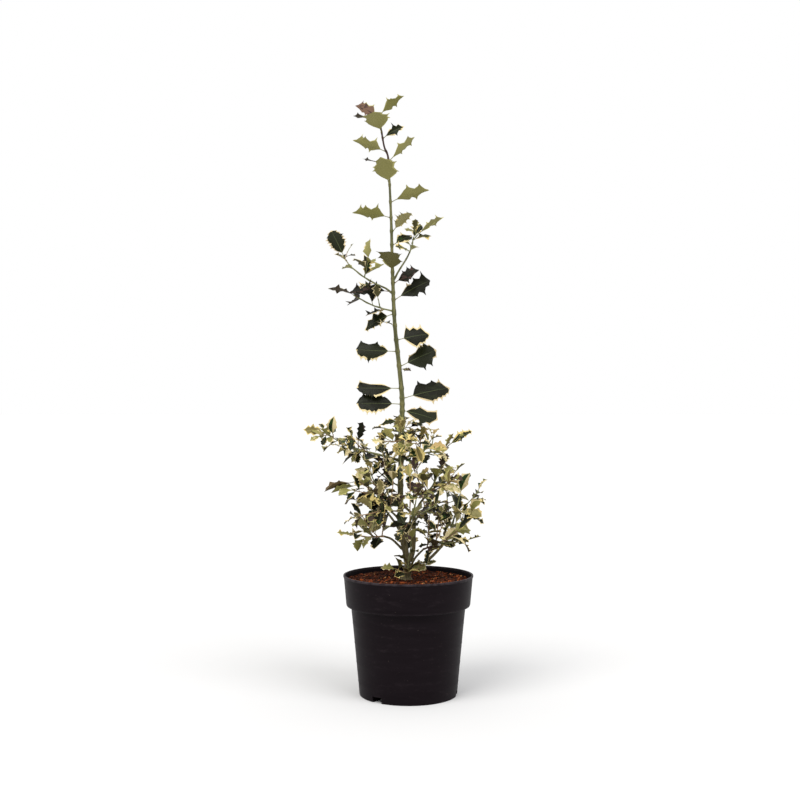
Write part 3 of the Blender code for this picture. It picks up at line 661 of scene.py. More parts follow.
# The shoots of each mass: a start along the first one, an end, a count of leaves, their length, and the
# look of the last leaf where that one shows at the outline
MASSES = {
    "left_high": (
        (0, (-118, -14, 379), 7, 40), (0.25, (-80, -36, 374), 4, 32), (0.3, (-84, 20, 362), 4, 30),
        (0.45, (-96, -30, 362), 2, 28), (0.97, (-121, -13, 381), 0, 48, "dusky bush"),
        (0.88, (-109, -18, 379), 0, 42, "halved calm"),
        (0.4, (-73, -14, 368), 0, 42, "black spiny horn few"),
        (0.38, (-76, -16, 347), 0, 34, "halved calm")),
    "left_mid": (
        (0, (-73, -26, 313), 5, 38), (0.25, (-54, -54, 318), 3, 34), (0.35, (-62, 0, 338), 4, 34),
        (0.5, (-78, -44, 300), 2, 32, "olive calm"), (0.97, (-79, -27, 311), 0, 57, "umber calm"),
        (0.85, (-74, -27, 307), 0, 54, "olive calm"), (0.1, (-34, -40, 306), 3, 30)),
    "left_low": (
        (0, (-78, -20, 234), 4, 32), (0.2, (-66, -32, 262), 3, 32), (0.35, (-74, 12, 252), 3, 30),
        (0.3, (-56, -40, 242), 2, 28), (0.05, (-34, -6, 274), 3, 28)),
    "right_high": (
        (0, (60, 10, 359), 4, 42), (0.15, (32, -16, 370), 3, 34), (0.4, (38, 36, 376), 3, 30),
        (0.3, (40, -22, 350), 2, 30), (0.05, (18, -18, 376), 2, 32),
        (0.9, (59, 8, 362), 0, 54, "fringed spiny outer outer")),
    "right_mid": (
        (0, (47, -16, 329), 6, 32), (0.25, (60, -38, 312), 4, 32), (0.4, (66, 2, 320), 3, 30),
        (0.2, (20, -40, 312), 4, 30), (0.05, (6, -28, 334), 4, 32)),
    "right_far": (
        (0, (77, 20, 290), 5, 46, "halved calm"), (0.55, (104, 26, 294), 4, 34),
        (0.2, (58, 44, 290), 4, 32), (0.25, (92, 0, 262), 3, 32), (0.1, (40, 4, 268), 4, 30)),
    "right_low": (
        (0, (70, -38, 242), 6, 36), (0.45, (84, -18, 226), 3, 32), (0.25, (48, -62, 252), 4, 32),
        (0.35, (44, -14, 258), 3, 30), (0.1, (30, -32, 262), 5, 32),
        (0.42, (40, -30, 218), 0, 38, "dark calm")),
    "back_left": (
        (0, (-64, 84, 304), 5, 36), (0.25, (-84, 54, 280), 4, 34), (0.35, (-34, 90, 280), 4, 34)),
    "back_right": (
        (0, (46, 90, 302), 5, 36), (0.25, (70, 64, 276), 4, 34), (0.35, (14, 86, 320), 4, 34)),
    "front_left": (
        (0, (-44, -76, 296), 5, 34), (0.35, (-70, -60, 266), 3, 32), (0.25, (-14, -80, 276), 4, 32),
        (0.1, (-22, -52, 314), 4, 32, "halved calm")),
    "front_right": (
        (0, (12, -72, 296), 5, 34), (0.35, (40, -66, 282), 4, 32), (0.2, (-8, -66, 248), 4, 30),
        (0.15, (22, -44, 278), 4, 30), (0.1, (2, -54, 318), 4, 32, "cream bush")),
    "centre_left": (
        (0, (-48, 6, 328), 5, 38), (0.4, (-38, 34, 348), 3, 34), (0.3, (-32, -22, 336), 3, 34)),
    "centre_front": (
        (0, (-8, -38, 388), 4, 36), (0.4, (14, -38, 366), 3, 34), (0.3, (-34, -34, 370), 3, 34),
        (0.1, (-12, -44, 336), 3, 34)),
    "centre_back": (
        (0, (-4, 40, 398), 4, 36), (0.3, (-32, 40, 386), 3, 34)),
    "foot": (
        (0, (-2, -18, 180), 2, 28), (0.5, (-18, -16, 184), 2, 28), (0.6, (22, -22, 190), 2, 28),
        (0.7, (4, -27, 228), 4, 30), (0.2, (-8, -16, 186), 0, 34), (0.3, (8, -15, 186), 0, 36)),
    "upper_left": (
        (0, (-86, -8, 625), 3, 36), (0.5, (-58, -16, 632), 3, 36, "olive calm"),
        (0.95, (-93, -9, 636), 0, 54, "old old comb comb"),
        (0, (-50, -5, 594), 0, 60, "black spiny saddle few")),
    "upper_left_low": (
        (0, (-80, 6, 583), 3, 48), (0.3, (-44, -8, 576), 0, 34)),
    "upper_right": (
        (0, (8, 12, 668), 3, 32), (0.9, (14, 8, 672), 0, 54, "olive_dark spiny"),
        (0.05, (-3, -3, 650), 0, 40, "fringed spiny")),
}


# %% The paths that stems follow
def mm(triple):
    return Vector(triple) * MM


def smooth(points, per_span):
    """Points on a Catmull-Rom curve through the given points."""
    ends = [2 * points[0] - points[1], *points, 2 * points[-1] - points[-2]]
    curve = []
    for a, b, c, d in zip(ends, ends[1:], ends[2:], ends[3:]):
        for step in range(per_span):
            t = step / per_span
            curve.append(0.5 * (2 * b + (c - a) * t + (2 * a - 5 * b + 4 * c - d) * t**2
                                + (3 * b - a - 3 * c + d) * t**3))
    return curve + [points[-1]]


TRUNK_FOOT = TRUNK_BENDS[0][2] * MM
TRUNK_TIP = TRUNK_BENDS[-1][2] * MM
TRUNK_LINE = smooth([mm(bend) for bend in TRUNK_BENDS], 8)


def trunk_radius(height):
    share = min(max((height - TRUNK_FOOT) / (TRUNK_TIP - TRUNK_FOOT), 0), 1)
    taper = (1 - share) ** TRUNK_TAPER
    flare = FLARE * math.exp((TRUNK_FOOT - height) / FLARE_HEIGHT)
    return TRUNK_TIP_RADIUS + (TRUNK_RADIUS - TRUNK_TIP_RADIUS) * taper + flare


def trunk_axis(height):
    """The leader's centre at a height."""
    for low, high in zip(TRUNK_LINE, TRUNK_LINE[1:]):
        if height <= high.z:
            return low.lerp(high, (height - low.z) / (high.z - low.z))
    return TRUNK_LINE[-1]


def trunk_exit(height, towards):
    """Where a limb leaves the leader towards a point, and its direction there."""
    axis = trunk_axis(height)
    out = (towards - axis) * Vector((1, 1, 0))
    out.normalize()
    return axis + out * (trunk_radius(height) + GAP), out


Limb = namedtuple("Limb", "points tip_radius heading")


def next_start(limb, side=None):
    """A start just past a limb's tip, set to one side where it forks."""
    start = limb.points[-1] + limb.heading * GAP
    if side is not None:
        across = (side - limb.heading * side.dot(limb.heading)).normalized()
        start += across * FORK_SPREAD
    return start, limb.heading


# %% [markdown]
# ### Skin with relief
#
# Young holly bark is smooth and green, but close up it has fine lengthwise ribs, a swelling where
# each leaf or side shoot sits, and small corky dots. A curve with a bevel gives the round stem and
# its taper in one step. It is converted to a mesh of short rings, and each point is then moved
# along its normal by the relief.

# %% Stems from bevelled curves
LEADER_SIDES = 28
BOUGH_SIDES = 16
STEM_STEP = 1.6 * MM
RIB_RELIEF = 0.035
RIB_STRENGTH = 1.6
DOT_RELIEF = 0.10
NODE_SWELL = 0.30
NODE_CROWDING = 1.2
NODE_WIDEST = 2.2 * MM
BARK_INSET = 0.04
NODE_LENGTH = 2.6 * MM
RIB_TURNS = 2.2
RIB_LENGTH = 14 * MM
WRINKLE_TURNS = 6
WRINKLE_LENGTH = 5 * MM
DOT_SIZE = 1.3 * MM
DOT_LEVEL = 0.35


def resample(points, step):
    """The same line with points at even short steps."""
    line = [points[0]]
    for low, high in zip(points, points[1:]):
        count = max(1, round((high - low).length / step))
        line += [low.lerp(high, part / count) for part in range(1, count + 1)]
    return line


def stem(name, points, radius_at, sides):
    """A round stem along points, made as a bevelled curve and turned into a mesh."""
    bpy.ops.object.select_all(action="DESELECT")
    line = resample(points, STEM_STEP)
    bpy.ops.curve.primitive_bezier_curve_add()
    curve = bpy.context.object
    curve.name = name
    curve.data.splines.clear()
    spline = curve.data.splines.new("POLY")
    spline.points.add(len(line) - 1)
    for spot, (point, place) in enumerate(zip(spline.points, line)):
        point.co = (*place, 1)
        point.radius = radius_at(spot / (len(line) - 1), place)
    curve.data.dimensions = "3D"
    curve.data.bevel_depth = 1
    curve.data.bevel_resolution = sides // 2 - 2
    curve.data.use_fill_caps = True
    curve.data.twist_smooth = 8
    only(curve)
    bpy.ops.object.convert(target="MESH")
    made = bpy.context.object
    face_outwards(made)
    return made


def ribbed(thing, axis_at):
    """Moves a stem's surface by fine ribs and wrinkles that run along it."""
    for corner in thing.data.vertices:
        axis, radius = axis_at(corner.co)
        away = corner.co - axis
        if away.length < 0.2 * radius:
            continue
        turn = math.atan2(away.y, away.x)
        ribs, fine = (
            noise.noise(Vector((turns * math.cos(turn), turns * math.sin(turn), corner.co.z / length)))
            for turns, length in ((RIB_TURNS, RIB_LENGTH), (WRINKLE_TURNS, WRINKLE_LENGTH)))
        dots = max(0, noise.noise(corner.co / DOT_SIZE) - DOT_LEVEL)
        relief = RIB_RELIEF * (RIB_STRENGTH * ribs + fine) + DOT_RELIEF * dots
        corner.co += away.normalized() * radius * relief


# %% The leader
leaf_nodes = [row[0] * MM for row in LEADER_LEAVES]
leaf_nodes += [row[1] * MM for row in BOUGHS.values() if row[0] == "trunk"]
leaf_nodes += [height * MM for height in MASS_HEIGHTS.values()]


def leader_radius(share, place):
    """The leader's radius, swollen a little at each leaf node."""
    near = sum(math.exp(-((place.z - height) / NODE_LENGTH) ** 2) for height in leaf_nodes)
    plain = trunk_radius(place.z)
    swell = min(near, NODE_CROWDING) * NODE_SWELL * min(plain, NODE_WIDEST)
    return plain + swell - BARK_INSET * plain


leader = stem("leader_bark", TRUNK_LINE, leader_radius, LEADER_SIDES)
for corner in leader.data.vertices:
    axis = trunk_axis(corner.co.z)
    away = (corner.co - axis) * Vector((1, 1, 0))
    lobes = math.cos(FLARE_LOBES * math.atan2(away.y, away.x))
    corner.co += away * FLARE_DEPTH * math.exp((TRUNK_FOOT - corner.co.z) / FLARE_HEIGHT) * lobes
ribbed(leader, lambda place: (trunk_axis(place.z), trunk_radius(place.z)))

# %% The boughs
BOUGH_SUNK = 1.2
COLLAR = 0.35
COLLAR_FADE = 14
KNUCKLE = 0.10
KNUCKLE_TURN = 19
BOUGH_WRINKLES = ((1, 2.4 * MM), (0.6, 1.1 * MM))
BOUGH_RELIEF = 0.09
limbs = {}
bough_skins = []
for name, (carrier, height, bends, base_radius, tip_radius) in BOUGHS.items():
    bends = [mm(bend) for bend in bends]
    if carrier == "trunk":
        start, out = trunk_exit(height * MM, bends[0])
    else:
        start, out = next_start(limbs[carrier], side=bends[0] - limbs[carrier].points[-1])
    line = smooth([start, *bends], 3)
    limbs[name] = Limb(line, tip_radius * MM, (line[-1] - line[-2]).normalized())
    fine_line = [start - out * BOUGH_SUNK * MM, *smooth([start, *bends], 8)]

    def bough_radius(share, place, base=base_radius * MM, tip=tip_radius * MM):
        collar = COLLAR * math.exp(-share * COLLAR_FADE)
        knuckles = KNUCKLE * max(0, math.sin(share * KNUCKLE_TURN)) ** 6
        return base + (tip - base) * share + base * (collar + knuckles - BARK_INSET)

    skin = stem(f"bough_bark_{name}", fine_line, bough_radius, BOUGH_SIDES)
    for corner in skin.data.vertices:
        wrinkle = sum(share * noise.noise(corner.co / size) for share, size in BOUGH_WRINKLES)
        corner.co += corner.normal * wrinkle * BOUGH_RELIEF * MM
    bough_skins.append(skin)
only(*bough_skins)
bpy.ops.object.join()
boughs = bpy.context.object
boughs.name = "boughs_bark"
for thing in (leader, boughs):
    only(thing)
    bpy.ops.object.transform_apply(location=True, rotation=True, scale=True)
    bpy.ops.object.shade_smooth_by_angle(angle=math.radians(60))
    print(thing.name, "faces:", len(thing.data.polygons))


# %% [markdown]
# ### Green bark
#
# The bark is grey-green, browner and duller at the old foot, and dark brown where the tip hasn't
# ripened yet. Height gives those zones, noise breaks their edges, and long streaks run with the
# wood.

# %% Bark finish
OLD_BARK = (0.40, 0.22)
TIP_BARK = (0.765, 0.795)


def bark_paint(name, tip_brown=True):
    bark = Paint(name)
    height = bark.node("ShaderNodeSeparateXYZ", values={0: bark.place()}, out="Z")
    streaks = bark.noise(2.2 * MM, 4, scale=(1, 1, 0.10), roughness=0.6)
    patches = bark.noise(18 * MM, 3)
    corky = bark.remap(bark.noise(1.5 * MM, 2), 0.62, 0.72)
    green = bark.ramp(streaks, (0.30, 52, 54, 29), (0.50, 83, 84, 48), (0.72, 119, 112, 71))
    grey = bark.ramp(streaks, (0.30, 62, 52, 36), (0.70, 118, 103, 70))
    old = bark.remap(height + patches * 0.06, *OLD_BARK)
    tone = bark.blend(old * 0.75, green, grey)
    if tip_brown:
        brown = bark.ramp(streaks, (0.30, 32, 20, 18), (0.70, 64, 42, 34))
        young = bark.remap(height + patches * 0.02, *TIP_BARK)
        tone = bark.blend(young, tone, brown)
    tone = bark.blend(corky * 0.5, tone, linear(122, 106, 80))
    relief = streaks * 0.7 + corky * 0.5 + bark.noise(0.6 * MM, 2) * 0.2
    return bark.finish(tone, 0.45 + streaks * 0.25 + corky * 0.2, 0.25, relief, 0.25 * MM)


bark_paint("leader_bark_finish").cover(leader)
bark_paint("bough_bark_finish", tip_brown=False).cover(boughs)
for thing, replaced in (leader, ["trunk"]), (boughs, [f"bough_{name}" for name in BOUGHS]):
    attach(thing, "root")
    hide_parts(*replaced)

# %% [markdown]
# ## One holly leaf
#
# A holly leaf is stiff and leathery. Its edge runs in hollows from spine to spine, the spines point
# up and down in turn, and the blade folds or arches along its midrib. This kind has an uneven cream
# margin, which some spines miss. An image with a cut-out would lose the thickness and the two
# sides, so each leaf is a thin closed mesh. An inner line keeps the margin apart from the green,
# and a narrow strip is the midrib. Zones are faces, so each one can take a plain colour of its own.
#
# The two sides of a leaf seldom match, so each side draws its own list of spines.

# %% Leaf sides and styles
PETIOLE_WIDTH = 1.0 * MM
SPINE_ROOM = 1.18
SPINE_GAP = 0.15
LEAF_DROOP = 0.10
LEAF_HALF_THICKNESS = 0.16 * MM
SIDES = {
    "pair": ((0.42, 0.92), (0.54, 0.90), (0.84, 0.50)),
    "low_pair": ((0.38, 0.95), (0.54, 0.85)),
    "few": ((0.34, 0.66), (0.56, 1.00), (0.78, 0.74)),
    "fork": ((0.30, 0.45), (0.80, 0.95)),
    "saddle": ((0.24, 0.94), (0.62, 0.98), (0.77, 0.84)),
    "humps": ((0.40, 0.95), (0.78, 0.98)),
    "horn": ((0.34, 0.60), (0.60, 0.88), (0.90, 0.95)),
    "shoulder": ((0.13, 0.95), (0.40, 0.98), (0.68, 0.82)),
    "flat": ((0.20, 0.62), (0.36, 0.74), (0.88, 0.92)),
    "bare": ((0.30, 0.50), (0.92, 0.72)),
    "late": ((0.14, 0.48), (0.62, 1.00), (0.75, 0.92), (0.88, 0.68)),
    "teeth": ((0.40, 1.00), (0.64, 0.98), (0.90, 0.45)),
    "outer": ((0.44, 0.96), (0.55, 0.92), (0.67, 0.84), (0.79, 0.70), (0.91, 0.46)),
    "comb": ((0.20, 0.62), (0.32, 0.82), (0.44, 0.95), (0.56, 1.00), (0.68, 0.96), (0.80, 0.80),
             (0.91, 0.52)),
    "two": ((0.40, 0.90), (0.70, 0.92)),
    "three": ((0.30, 0.78), (0.54, 1.00), (0.78, 0.76)),
    "four": ((0.24, 0.66), (0.43, 0.94), (0.62, 0.98), (0.81, 0.66)),
    "smooth": ((0.34, 0.90), (0.60, 0.98), (0.82, 0.70)),
}
# Each style's sides, stalk share, wedge, depth of hollows, wave of spines, fold, twist and arch, and
# whether its edge is fine
Style = namedtuple("Style", "sides petiole wedge depth wave fold twist arch fine")
STYLES = {
    "young": Style(
        ("pair", "low_pair", "few"), 0.14, 1.15, 0.46, 0.15, (0.00, 0.18), 0.5, (-0.03, 0.07), True),
    "spiny": Style(
        ("few", "saddle", "outer"), 0.16, 0.95, 0.38, 0.14, (0.00, 0.20), 0.5, (0.00, 0.06), True),
    "old": Style(
        ("comb", "late", "outer"), 0.18, 0.85, 0.30, 0.08, (-0.08, 0.10), 0.3, (0.00, 0.05), True),
    "bush": Style(
        ("three", "two", "four"), 0.13, 0.80, 0.36, 0.14, (0.00, 0.42), 0.8, (-0.05, 0.12), False),
    "calm": Style(("smooth", "three"), 0.13, 0.75, 0.14, 0.05, (0.05, 0.48), 0.9, (-0.10, 0.16), False),
    "soft": Style(("humps", "pair"), 0.16, 0.75, 0.27, 0.07, (0.04, 0.16), 0.2, (0.00, 0.04), True),
    "seated": Style(("flat", "few"), 0.05, 0.85, 0.30, 0.08, (-0.08, 0.10), 0.3, (0.00, 0.05), True),
    "small": Style(("two", "smooth"), 0.13, 0.80, 0.24, 0.10, (0.00, 0.25), 0.6, (-0.04, 0.08), False),
}
HOLLOW = ((0.14, 0.55), (0.50, 1.00), (0.86, 0.60))
WEDGE = ((0.35, 1.00), (0.68, 0.97), (0.90, 0.86))
WEDGE_INNER = (0.62, 0.86)
SPINE_INNER = 0.82
SPINE_CURL = 0.35
MIDRIB_END = 0.94
MIDRIB_SINK = 0.25
BLADE_RISE = 0.012
STALK_ROOT = -0.025
STALK_WIDTHS = (1.25, 0.85, 0.9)
STALK_SECTION = ((1, 0.7), (1.1, 0), (1, -0.7), (-1, -0.7), (-1.1, 0), (-1, 0.7))
BLADE, MARGIN, RIB, UNDER, UNDER_MARGIN, STALK, FLUSH = range(7)
# Where each quarter of the blade, by side and layer, starts on the stalk's last ring
ROOT_SPOTS = {(1, 1): 0, (1, -1): 2, (-1, 1): 5, (-1, -1): 3}


# %% The leaf's edge
def leaf_edge(style, spines, rng):
    """A side's rim and inner line as (share, reach, lift), from its spines, and the spines' shares."""
    tips = [(share + rng.uniform(-0.015, 0.015), reach * rng.uniform(0.90, 1.06))
            for share, reach in spines]
    sign = rng.choice((1, -1))
    lifts = [style.wave * rng.uniform(0.6, 1.3) * (sign if number % 2 else -sign)
             for number in range(len(tips))]
    rim, inner = [], []
    share, reach = tips[0]
    for part, ease in WEDGE if style.fine else WEDGE[1:2]:
        rim.append((share * part, reach * part ** style.wedge * ease, 0))
    part, ease = WEDGE_INNER
    inner.append((share * part, reach * part ** style.wedge * ease, 0))
    for number, (share, reach) in enumerate(tips):
        lift = lifts[number]
        rim.append((share, reach, lift))
        inner.append((share, reach * SPINE_INNER, SPINE_CURL * lift))
        next_share, next_reach = tips[number + 1] if number + 1 < len(tips) else (1.0, 0.0)
        next_lift = lifts[number + 1] if number + 1 < len(tips) else 0
        depth = style.depth * min(1.2, (next_share - share) / SPINE_GAP)
        for part, hollow in HOLLOW if style.fine else HOLLOW[1:2]:
            level = (reach + (next_reach - reach) * part) * (1 - depth * hollow)
            bend = 0.5 * lift * max(0, 1 - 3 * part) + 0.5 * next_lift * max(0, 3 * part - 2)
            spot = share + (next_share - share) * part
            rim.append((spot, level, bend))
            if part == 0.5:
                inner.append((spot, level * (0.93 if next_reach else 0.75), 0))
    return rim, inner, [share for share, reach in tips]


def strip(outer, inner, shares, flip):
    """Triangles between two lines of corners that run the same way."""
    faces = []
    far, near = 0, 0
    while far < len(outer) - 1 or near < len(inner) - 1:
        step_outer = near == len(inner) - 1 or (
            far < len(outer) - 1 and shares[outer[far + 1]] < shares[inner[near + 1]])
        if step_outer:
            face = (outer[far], outer[far + 1], inner[near])
            far += 1
        else:
            face = (outer[far], inner[near + 1], inner[near])
            near += 1
        if len(set(face)) == 3:
            faces.append(tuple(reversed(face)) if flip else face)
    return faces


# %% The whole leaf
Variegation = namedtuple("Variegation", "inset edge half")


def leaf_mesh(length, width, style, rng, cream, sides=None):
    """Corners, faces and zones of a leaf, from a root at the origin along +X, with its face to +Z."""
    sides = sides or [rng.choice(style.sides) for side in range(2)]
    corners, shares, faces, zones = [], [], [], []
    half = width * SPINE_ROOM / 2
    petiole = style.petiole
    twist = rng.uniform(-style.twist, style.twist)
    sway = rng.uniform(-0.07, 0.07)
    arch = rng.uniform(*style.arch)
    fold = rng.uniform(*style.fold)
    plain_side = rng.choice((1, -1))
    cream_side = rng.choice((1, -1)) if rng.random() < cream.half else 0

    def corner(share, across, lift):
        """A corner at a share of the whole length, with the leaf's droop, arch and twist."""
        angle = twist * max(share - petiole, 0)
        bow = 4 * share * (1 - share) * length
        aside = across * math.cos(angle) - lift * math.sin(angle)
        above = lift * math.cos(angle) + across * math.sin(angle)
        height = above + arch * bow - LEAF_DROOP * length * share**2
        corners.append(Vector((share * length, aside + sway * bow / 4, height)))
        shares.append(share)
        return len(corners) - 1

    def on_blade(share, reach, lift, raised=0):
        rise = (fold * abs(reach) ** 1.4 + lift) * width + raised
        return corner(petiole + (1 - petiole) * share, reach * half, rise)

    stalk = PETIOLE_WIDTH / 2
    rings = []
    for share, thin in zip((STALK_ROOT, 0.5 * petiole, petiole), STALK_WIDTHS):
        rings.append([corner(share, across * stalk * thin, lift * stalk * thin)
                      for across, lift in STALK_SECTION])
    faces.append(tuple(rings[0]))
    zones.append(STALK)
    for low, high in zip(rings, rings[1:]):
        for side in range(6):
            after = (side + 1) % 6
            faces.append((low[after], low[side], high[side], high[after]))
            zones.append(STALK)
    roots = {quarter: rings[-1][spot] for quarter, spot in ROOT_SPOTS.items()}
    tip = corner(1, 0, 0)
    ends = {layer: on_blade(MIDRIB_END, 0, 0, layer * LEAF_HALF_THICKNESS) for layer in (1, -1)}
    rib_shares = (0.3, 0.6) if not style.fine else (0.2, 0.4, 0.6, 0.8)
    ribs = {}
    for layer in (1, -1):
        sink = layer * LEAF_HALF_THICKNESS - MIDRIB_SINK * LEAF_HALF_THICKNESS
        for sign in (1, -1):
            ribs[sign, layer] = [
                on_blade(share, sign * stalk * (1 - 0.75 * share) / half * 0.75, 0, sink)
                for share in rib_shares]
    for sign, side_corner, side in ((1, 1, sides[0]), (-1, 4, sides[1])):
        rim_points, inner_points, spines = leaf_edge(style, SIDES[side], rng)
        chance = cream.edge * (0.45 if sign == plain_side else 1)
        edged = [rng.random() < chance for spine in spines]
        rim = [rings[-1][side_corner]]
        rim += [on_blade(share, sign * reach, lift) for share, reach, lift in rim_points]
        rim.append(tip)
        bites = [min(cream.inset * rng.uniform(0.88, 1.12), 1) for point in inner_points]
        for layer in (1, -1):
            thick = layer * LEAF_HALF_THICKNESS
            root = roots[sign, layer]
            inner = [root]
            for (share, reach, lift), bite in zip(inner_points, bites):
                inner.append(on_blade(share, sign * reach * bite, lift * bite, thick))
            middle = [root]
            if style.fine:
                widest = 0.5 * cream.inset * max(point[1] for point in inner_points)
                for share in rib_shares:
                    reach = widest * math.sin(math.pi * share ** 0.9)
                    middle.append(on_blade(share, sign * reach, BLADE_RISE, thick))
            rib = [root, *ribs[sign, layer]]
            for line in (inner, middle, rib):
                line.append(ends[layer])
            flip = (sign == 1) == (layer == 1)
            edge_zone, blade_zone = {1: (MARGIN, BLADE), -1: (UNDER_MARGIN, UNDER)}[layer]
            bands = [(inner, middle), (middle, rib)] if style.fine else [(inner, rib)]
            for outer_line, inner_line in bands:
                made = strip(outer_line, inner_line, shares, flip)
                faces += made
                zones += [edge_zone if sign == cream_side else blade_zone] * len(made)
            for face in strip(rim, inner, shares, flip):
                spot = (sum(shares[index] for index in face) / 3 - petiole) / (1 - petiole)
                nearest = min(range(len(spines)), key=lambda number: abs(spines[number] - spot))
                faces.append(face)
                zones.append(edge_zone if edged[nearest] else blade_zone)
    for layer in (1, -1):
        lines = [[roots[sign, layer], *ribs[sign, layer], ends[layer]] for sign in (1, -1)]
        for spot in range(len(lines[0]) - 1):
            ring = (lines[0][spot], lines[1][spot], lines[1][spot + 1], lines[0][spot + 1])
            face = tuple(dict.fromkeys(ring))
            faces.append(face if layer == 1 else tuple(reversed(face)))
            zones.append(RIB if layer == 1 else UNDER)
    return corners, faces, zones


TRIAL = Variegation(0.9, 0.8, 0)
for name, style in STYLES.items():
    trial_faces = leaf_mesh(30 * MM, 18 * MM, style, random.Random(1), TRIAL)[1]
    print("faces of a leaf,", name, len(trial_faces))

# %% [markdown]
# ### Colours dealt out by leaf
#
# No two leaves of this plant have the same share of green and cream. Old leaves are nearly black-
# green and glossy, with a thin margin. Young ones are olive or sage on both sides. Some are nearly
# all cream, one is bronze. Each zone gets a plain colour from a short list, and each leaf is dealt
# one colour for each zone, so no picture is needed and the leaves keep their colours wherever they
# are moved.

# %% Leaf tones
TONES = {
    "green_black": (19, 20, 10), "green_deep": (25, 28, 13), "green_mid": (32, 52, 20),
    "olive": (119, 116, 64), "olive_dark": (62, 64, 32), "olive_pale": (130, 126, 76),
    "sage": (138, 131, 88), "bronze": (95, 71, 55),
    "olive_brown": (92, 88, 50), "umber": (84, 70, 46), "cream_pale": (176, 160, 124),
    "bronze_dark": (54, 38, 32), "cream": (192, 177, 134), "cream_yellow": (190, 171, 108),
    "cream_green": (160, 154, 94), "cream_tan": (174, 150, 100), "midrib": (120, 124, 70),
    "midrib_dark": (68, 76, 42), "under_olive": (70, 66, 36), "under_sage": (108, 98, 58),
    "under_brown": (58, 48, 31), "stalk_green": (110, 108, 60), "stalk_brown": (94, 66, 46),
}
GLOSS = {"green_black": 0.30, "green_deep": 0.30, "green_mid": 0.34, "olive_dark": 0.36}
PLAIN_GLOSS = 0.46
TONE_NAMES = list(TONES)
leaf_paints = [
    grained("leaf_" + name, tone, 1.8 * MM, 0.25 * MM, GLOSS.get(name, PLAIN_GLOSS), 0.14,
            shine=0.08 if name in GLOSS else 0.16, roughness=0.6)
    for name, tone in TONES.items()]

# %% Kinds of leaf
Kind = namedtuple("Kind", "blade flush margin midrib under stalk cream flushed variegation")
DARK = "green_black green_deep"
UNDERS = "under_olive under_sage under_olive under_brown"
CREAMS = "cream cream_yellow"


def leaf_kind(blade, flush, margin, midrib, under="", stalk="stalk_green", cream=0.0, flushed=0.10,
              inset=0.9, edge=1.0, half=0):
    """The tones each zone may take, and how cream the leaf is; none below means the same as above."""
    tones = [tuple(names.split()) for names in (blade, flush, margin, midrib, under, stalk)]
    return Kind(*tones, cream, flushed, Variegation(inset, edge, half))


KINDS = {
    "old": leaf_kind(DARK, "green_deep", "cream_pale cream", "midrib_dark", "under_olive",
                     inset=0.89, edge=0.92),
    "worn": leaf_kind(DARK, "green_deep", "cream_pale", "midrib_dark", "under_olive", edge=0.45),
    "black": leaf_kind("green_black", "bronze_dark", "bronze_dark cream_green", "green_deep",
                       "under_brown", "stalk_brown", flushed=0.15, edge=0.35),
    "dark": leaf_kind(DARK, "green_mid", CREAMS, "midrib_dark", UNDERS,
                      cream=0.02, inset=0.82, edge=0.95, half=0.04),
    "fringed": leaf_kind("green_mid green_deep olive_dark", "olive", CREAMS, "midrib", UNDERS,
                         cream=0.06, inset=0.60, half=0.1),
    "halved": leaf_kind("green_mid", "green_deep", "cream", "midrib", "under_sage",
                        cream=0.03, inset=0.74, half=1.0),
    "olive": leaf_kind("olive olive_pale", "olive_pale", "cream_green cream_green cream", "sage",
                       cream=0.02, flushed=0.20, inset=0.91, edge=0.7),
    "olive_dark": leaf_kind("olive_brown", "olive olive_dark", "cream_green", "midrib_dark",
                            flushed=0.25, inset=0.92, edge=0.4),
    "edged": leaf_kind("sage olive", "olive_pale", CREAMS, "sage", inset=0.82),
    "dusky": leaf_kind("under_sage olive", "olive", CREAMS, "sage", inset=0.82),
    "two_tone": leaf_kind("green_mid green_deep olive", "sage", CREAMS, "midrib", UNDERS,
                          cream=0.10, flushed=0.12, inset=0.66, half=0.5),
    "cream": leaf_kind("cream_green olive_pale green_mid", "sage", CREAMS, "cream_green",
                       "cream_green under_sage", cream=0.40, flushed=0.20, inset=0.50, half=0.4),
    "tan": leaf_kind("cream_tan olive", "cream_yellow", "cream_tan", "cream_green",
                     "cream_tan under_sage", cream=0.40, flushed=0.15, inset=0.55, half=0.3),
    "brown": leaf_kind("green_deep bronze_dark", "olive", "cream_green cream", "midrib_dark",
                       "under_brown", "stalk_brown", cream=0.02, flushed=0.08, edge=0.55),
    "umber": leaf_kind("umber", "umber", "olive_brown", "stalk_green",
                       flushed=0.0, inset=0.94, edge=0.3),
    "bronze": leaf_kind("bronze", "bronze_dark", "cream_green", "bronze_dark", "bronze", "stalk_brown",
                        flushed=0.25, inset=0.94, edge=0.3),
}


# %% Colour a leaf and set it in its place
def add_leaf(pile, kind, style, length, width, place, rng, sides=None):
    """Makes one leaf in its place, with its zones coloured from its kind."""
    palette = KINDS[kind]
    corners, faces, zones = leaf_mesh(length, width, STYLES[style], rng, palette.variegation, sides)
    tone = {
        BLADE: rng.choice(palette.blade), FLUSH: rng.choice(palette.flush),
        MARGIN: rng.choice(palette.margin), RIB: rng.choice(palette.midrib),
        STALK: rng.choice(palette.stalk),
    }
    tone[UNDER] = rng.choice(palette.under or (tone[BLADE],))
    tone[UNDER_MARGIN] = tone[MARGIN] if rng.random() < 0.5 or not palette.under else "cream_green"
    tints = []
    for zone in zones:
        if zone == BLADE:
            draw = rng.random()
            if draw < palette.cream:
                zone = MARGIN
            elif draw < palette.cream + palette.flushed:
                zone = FLUSH
        tints.append(TONE_NAMES.index(tone[zone]))
    pile.add([place @ corner for corner in corners], faces, tints)


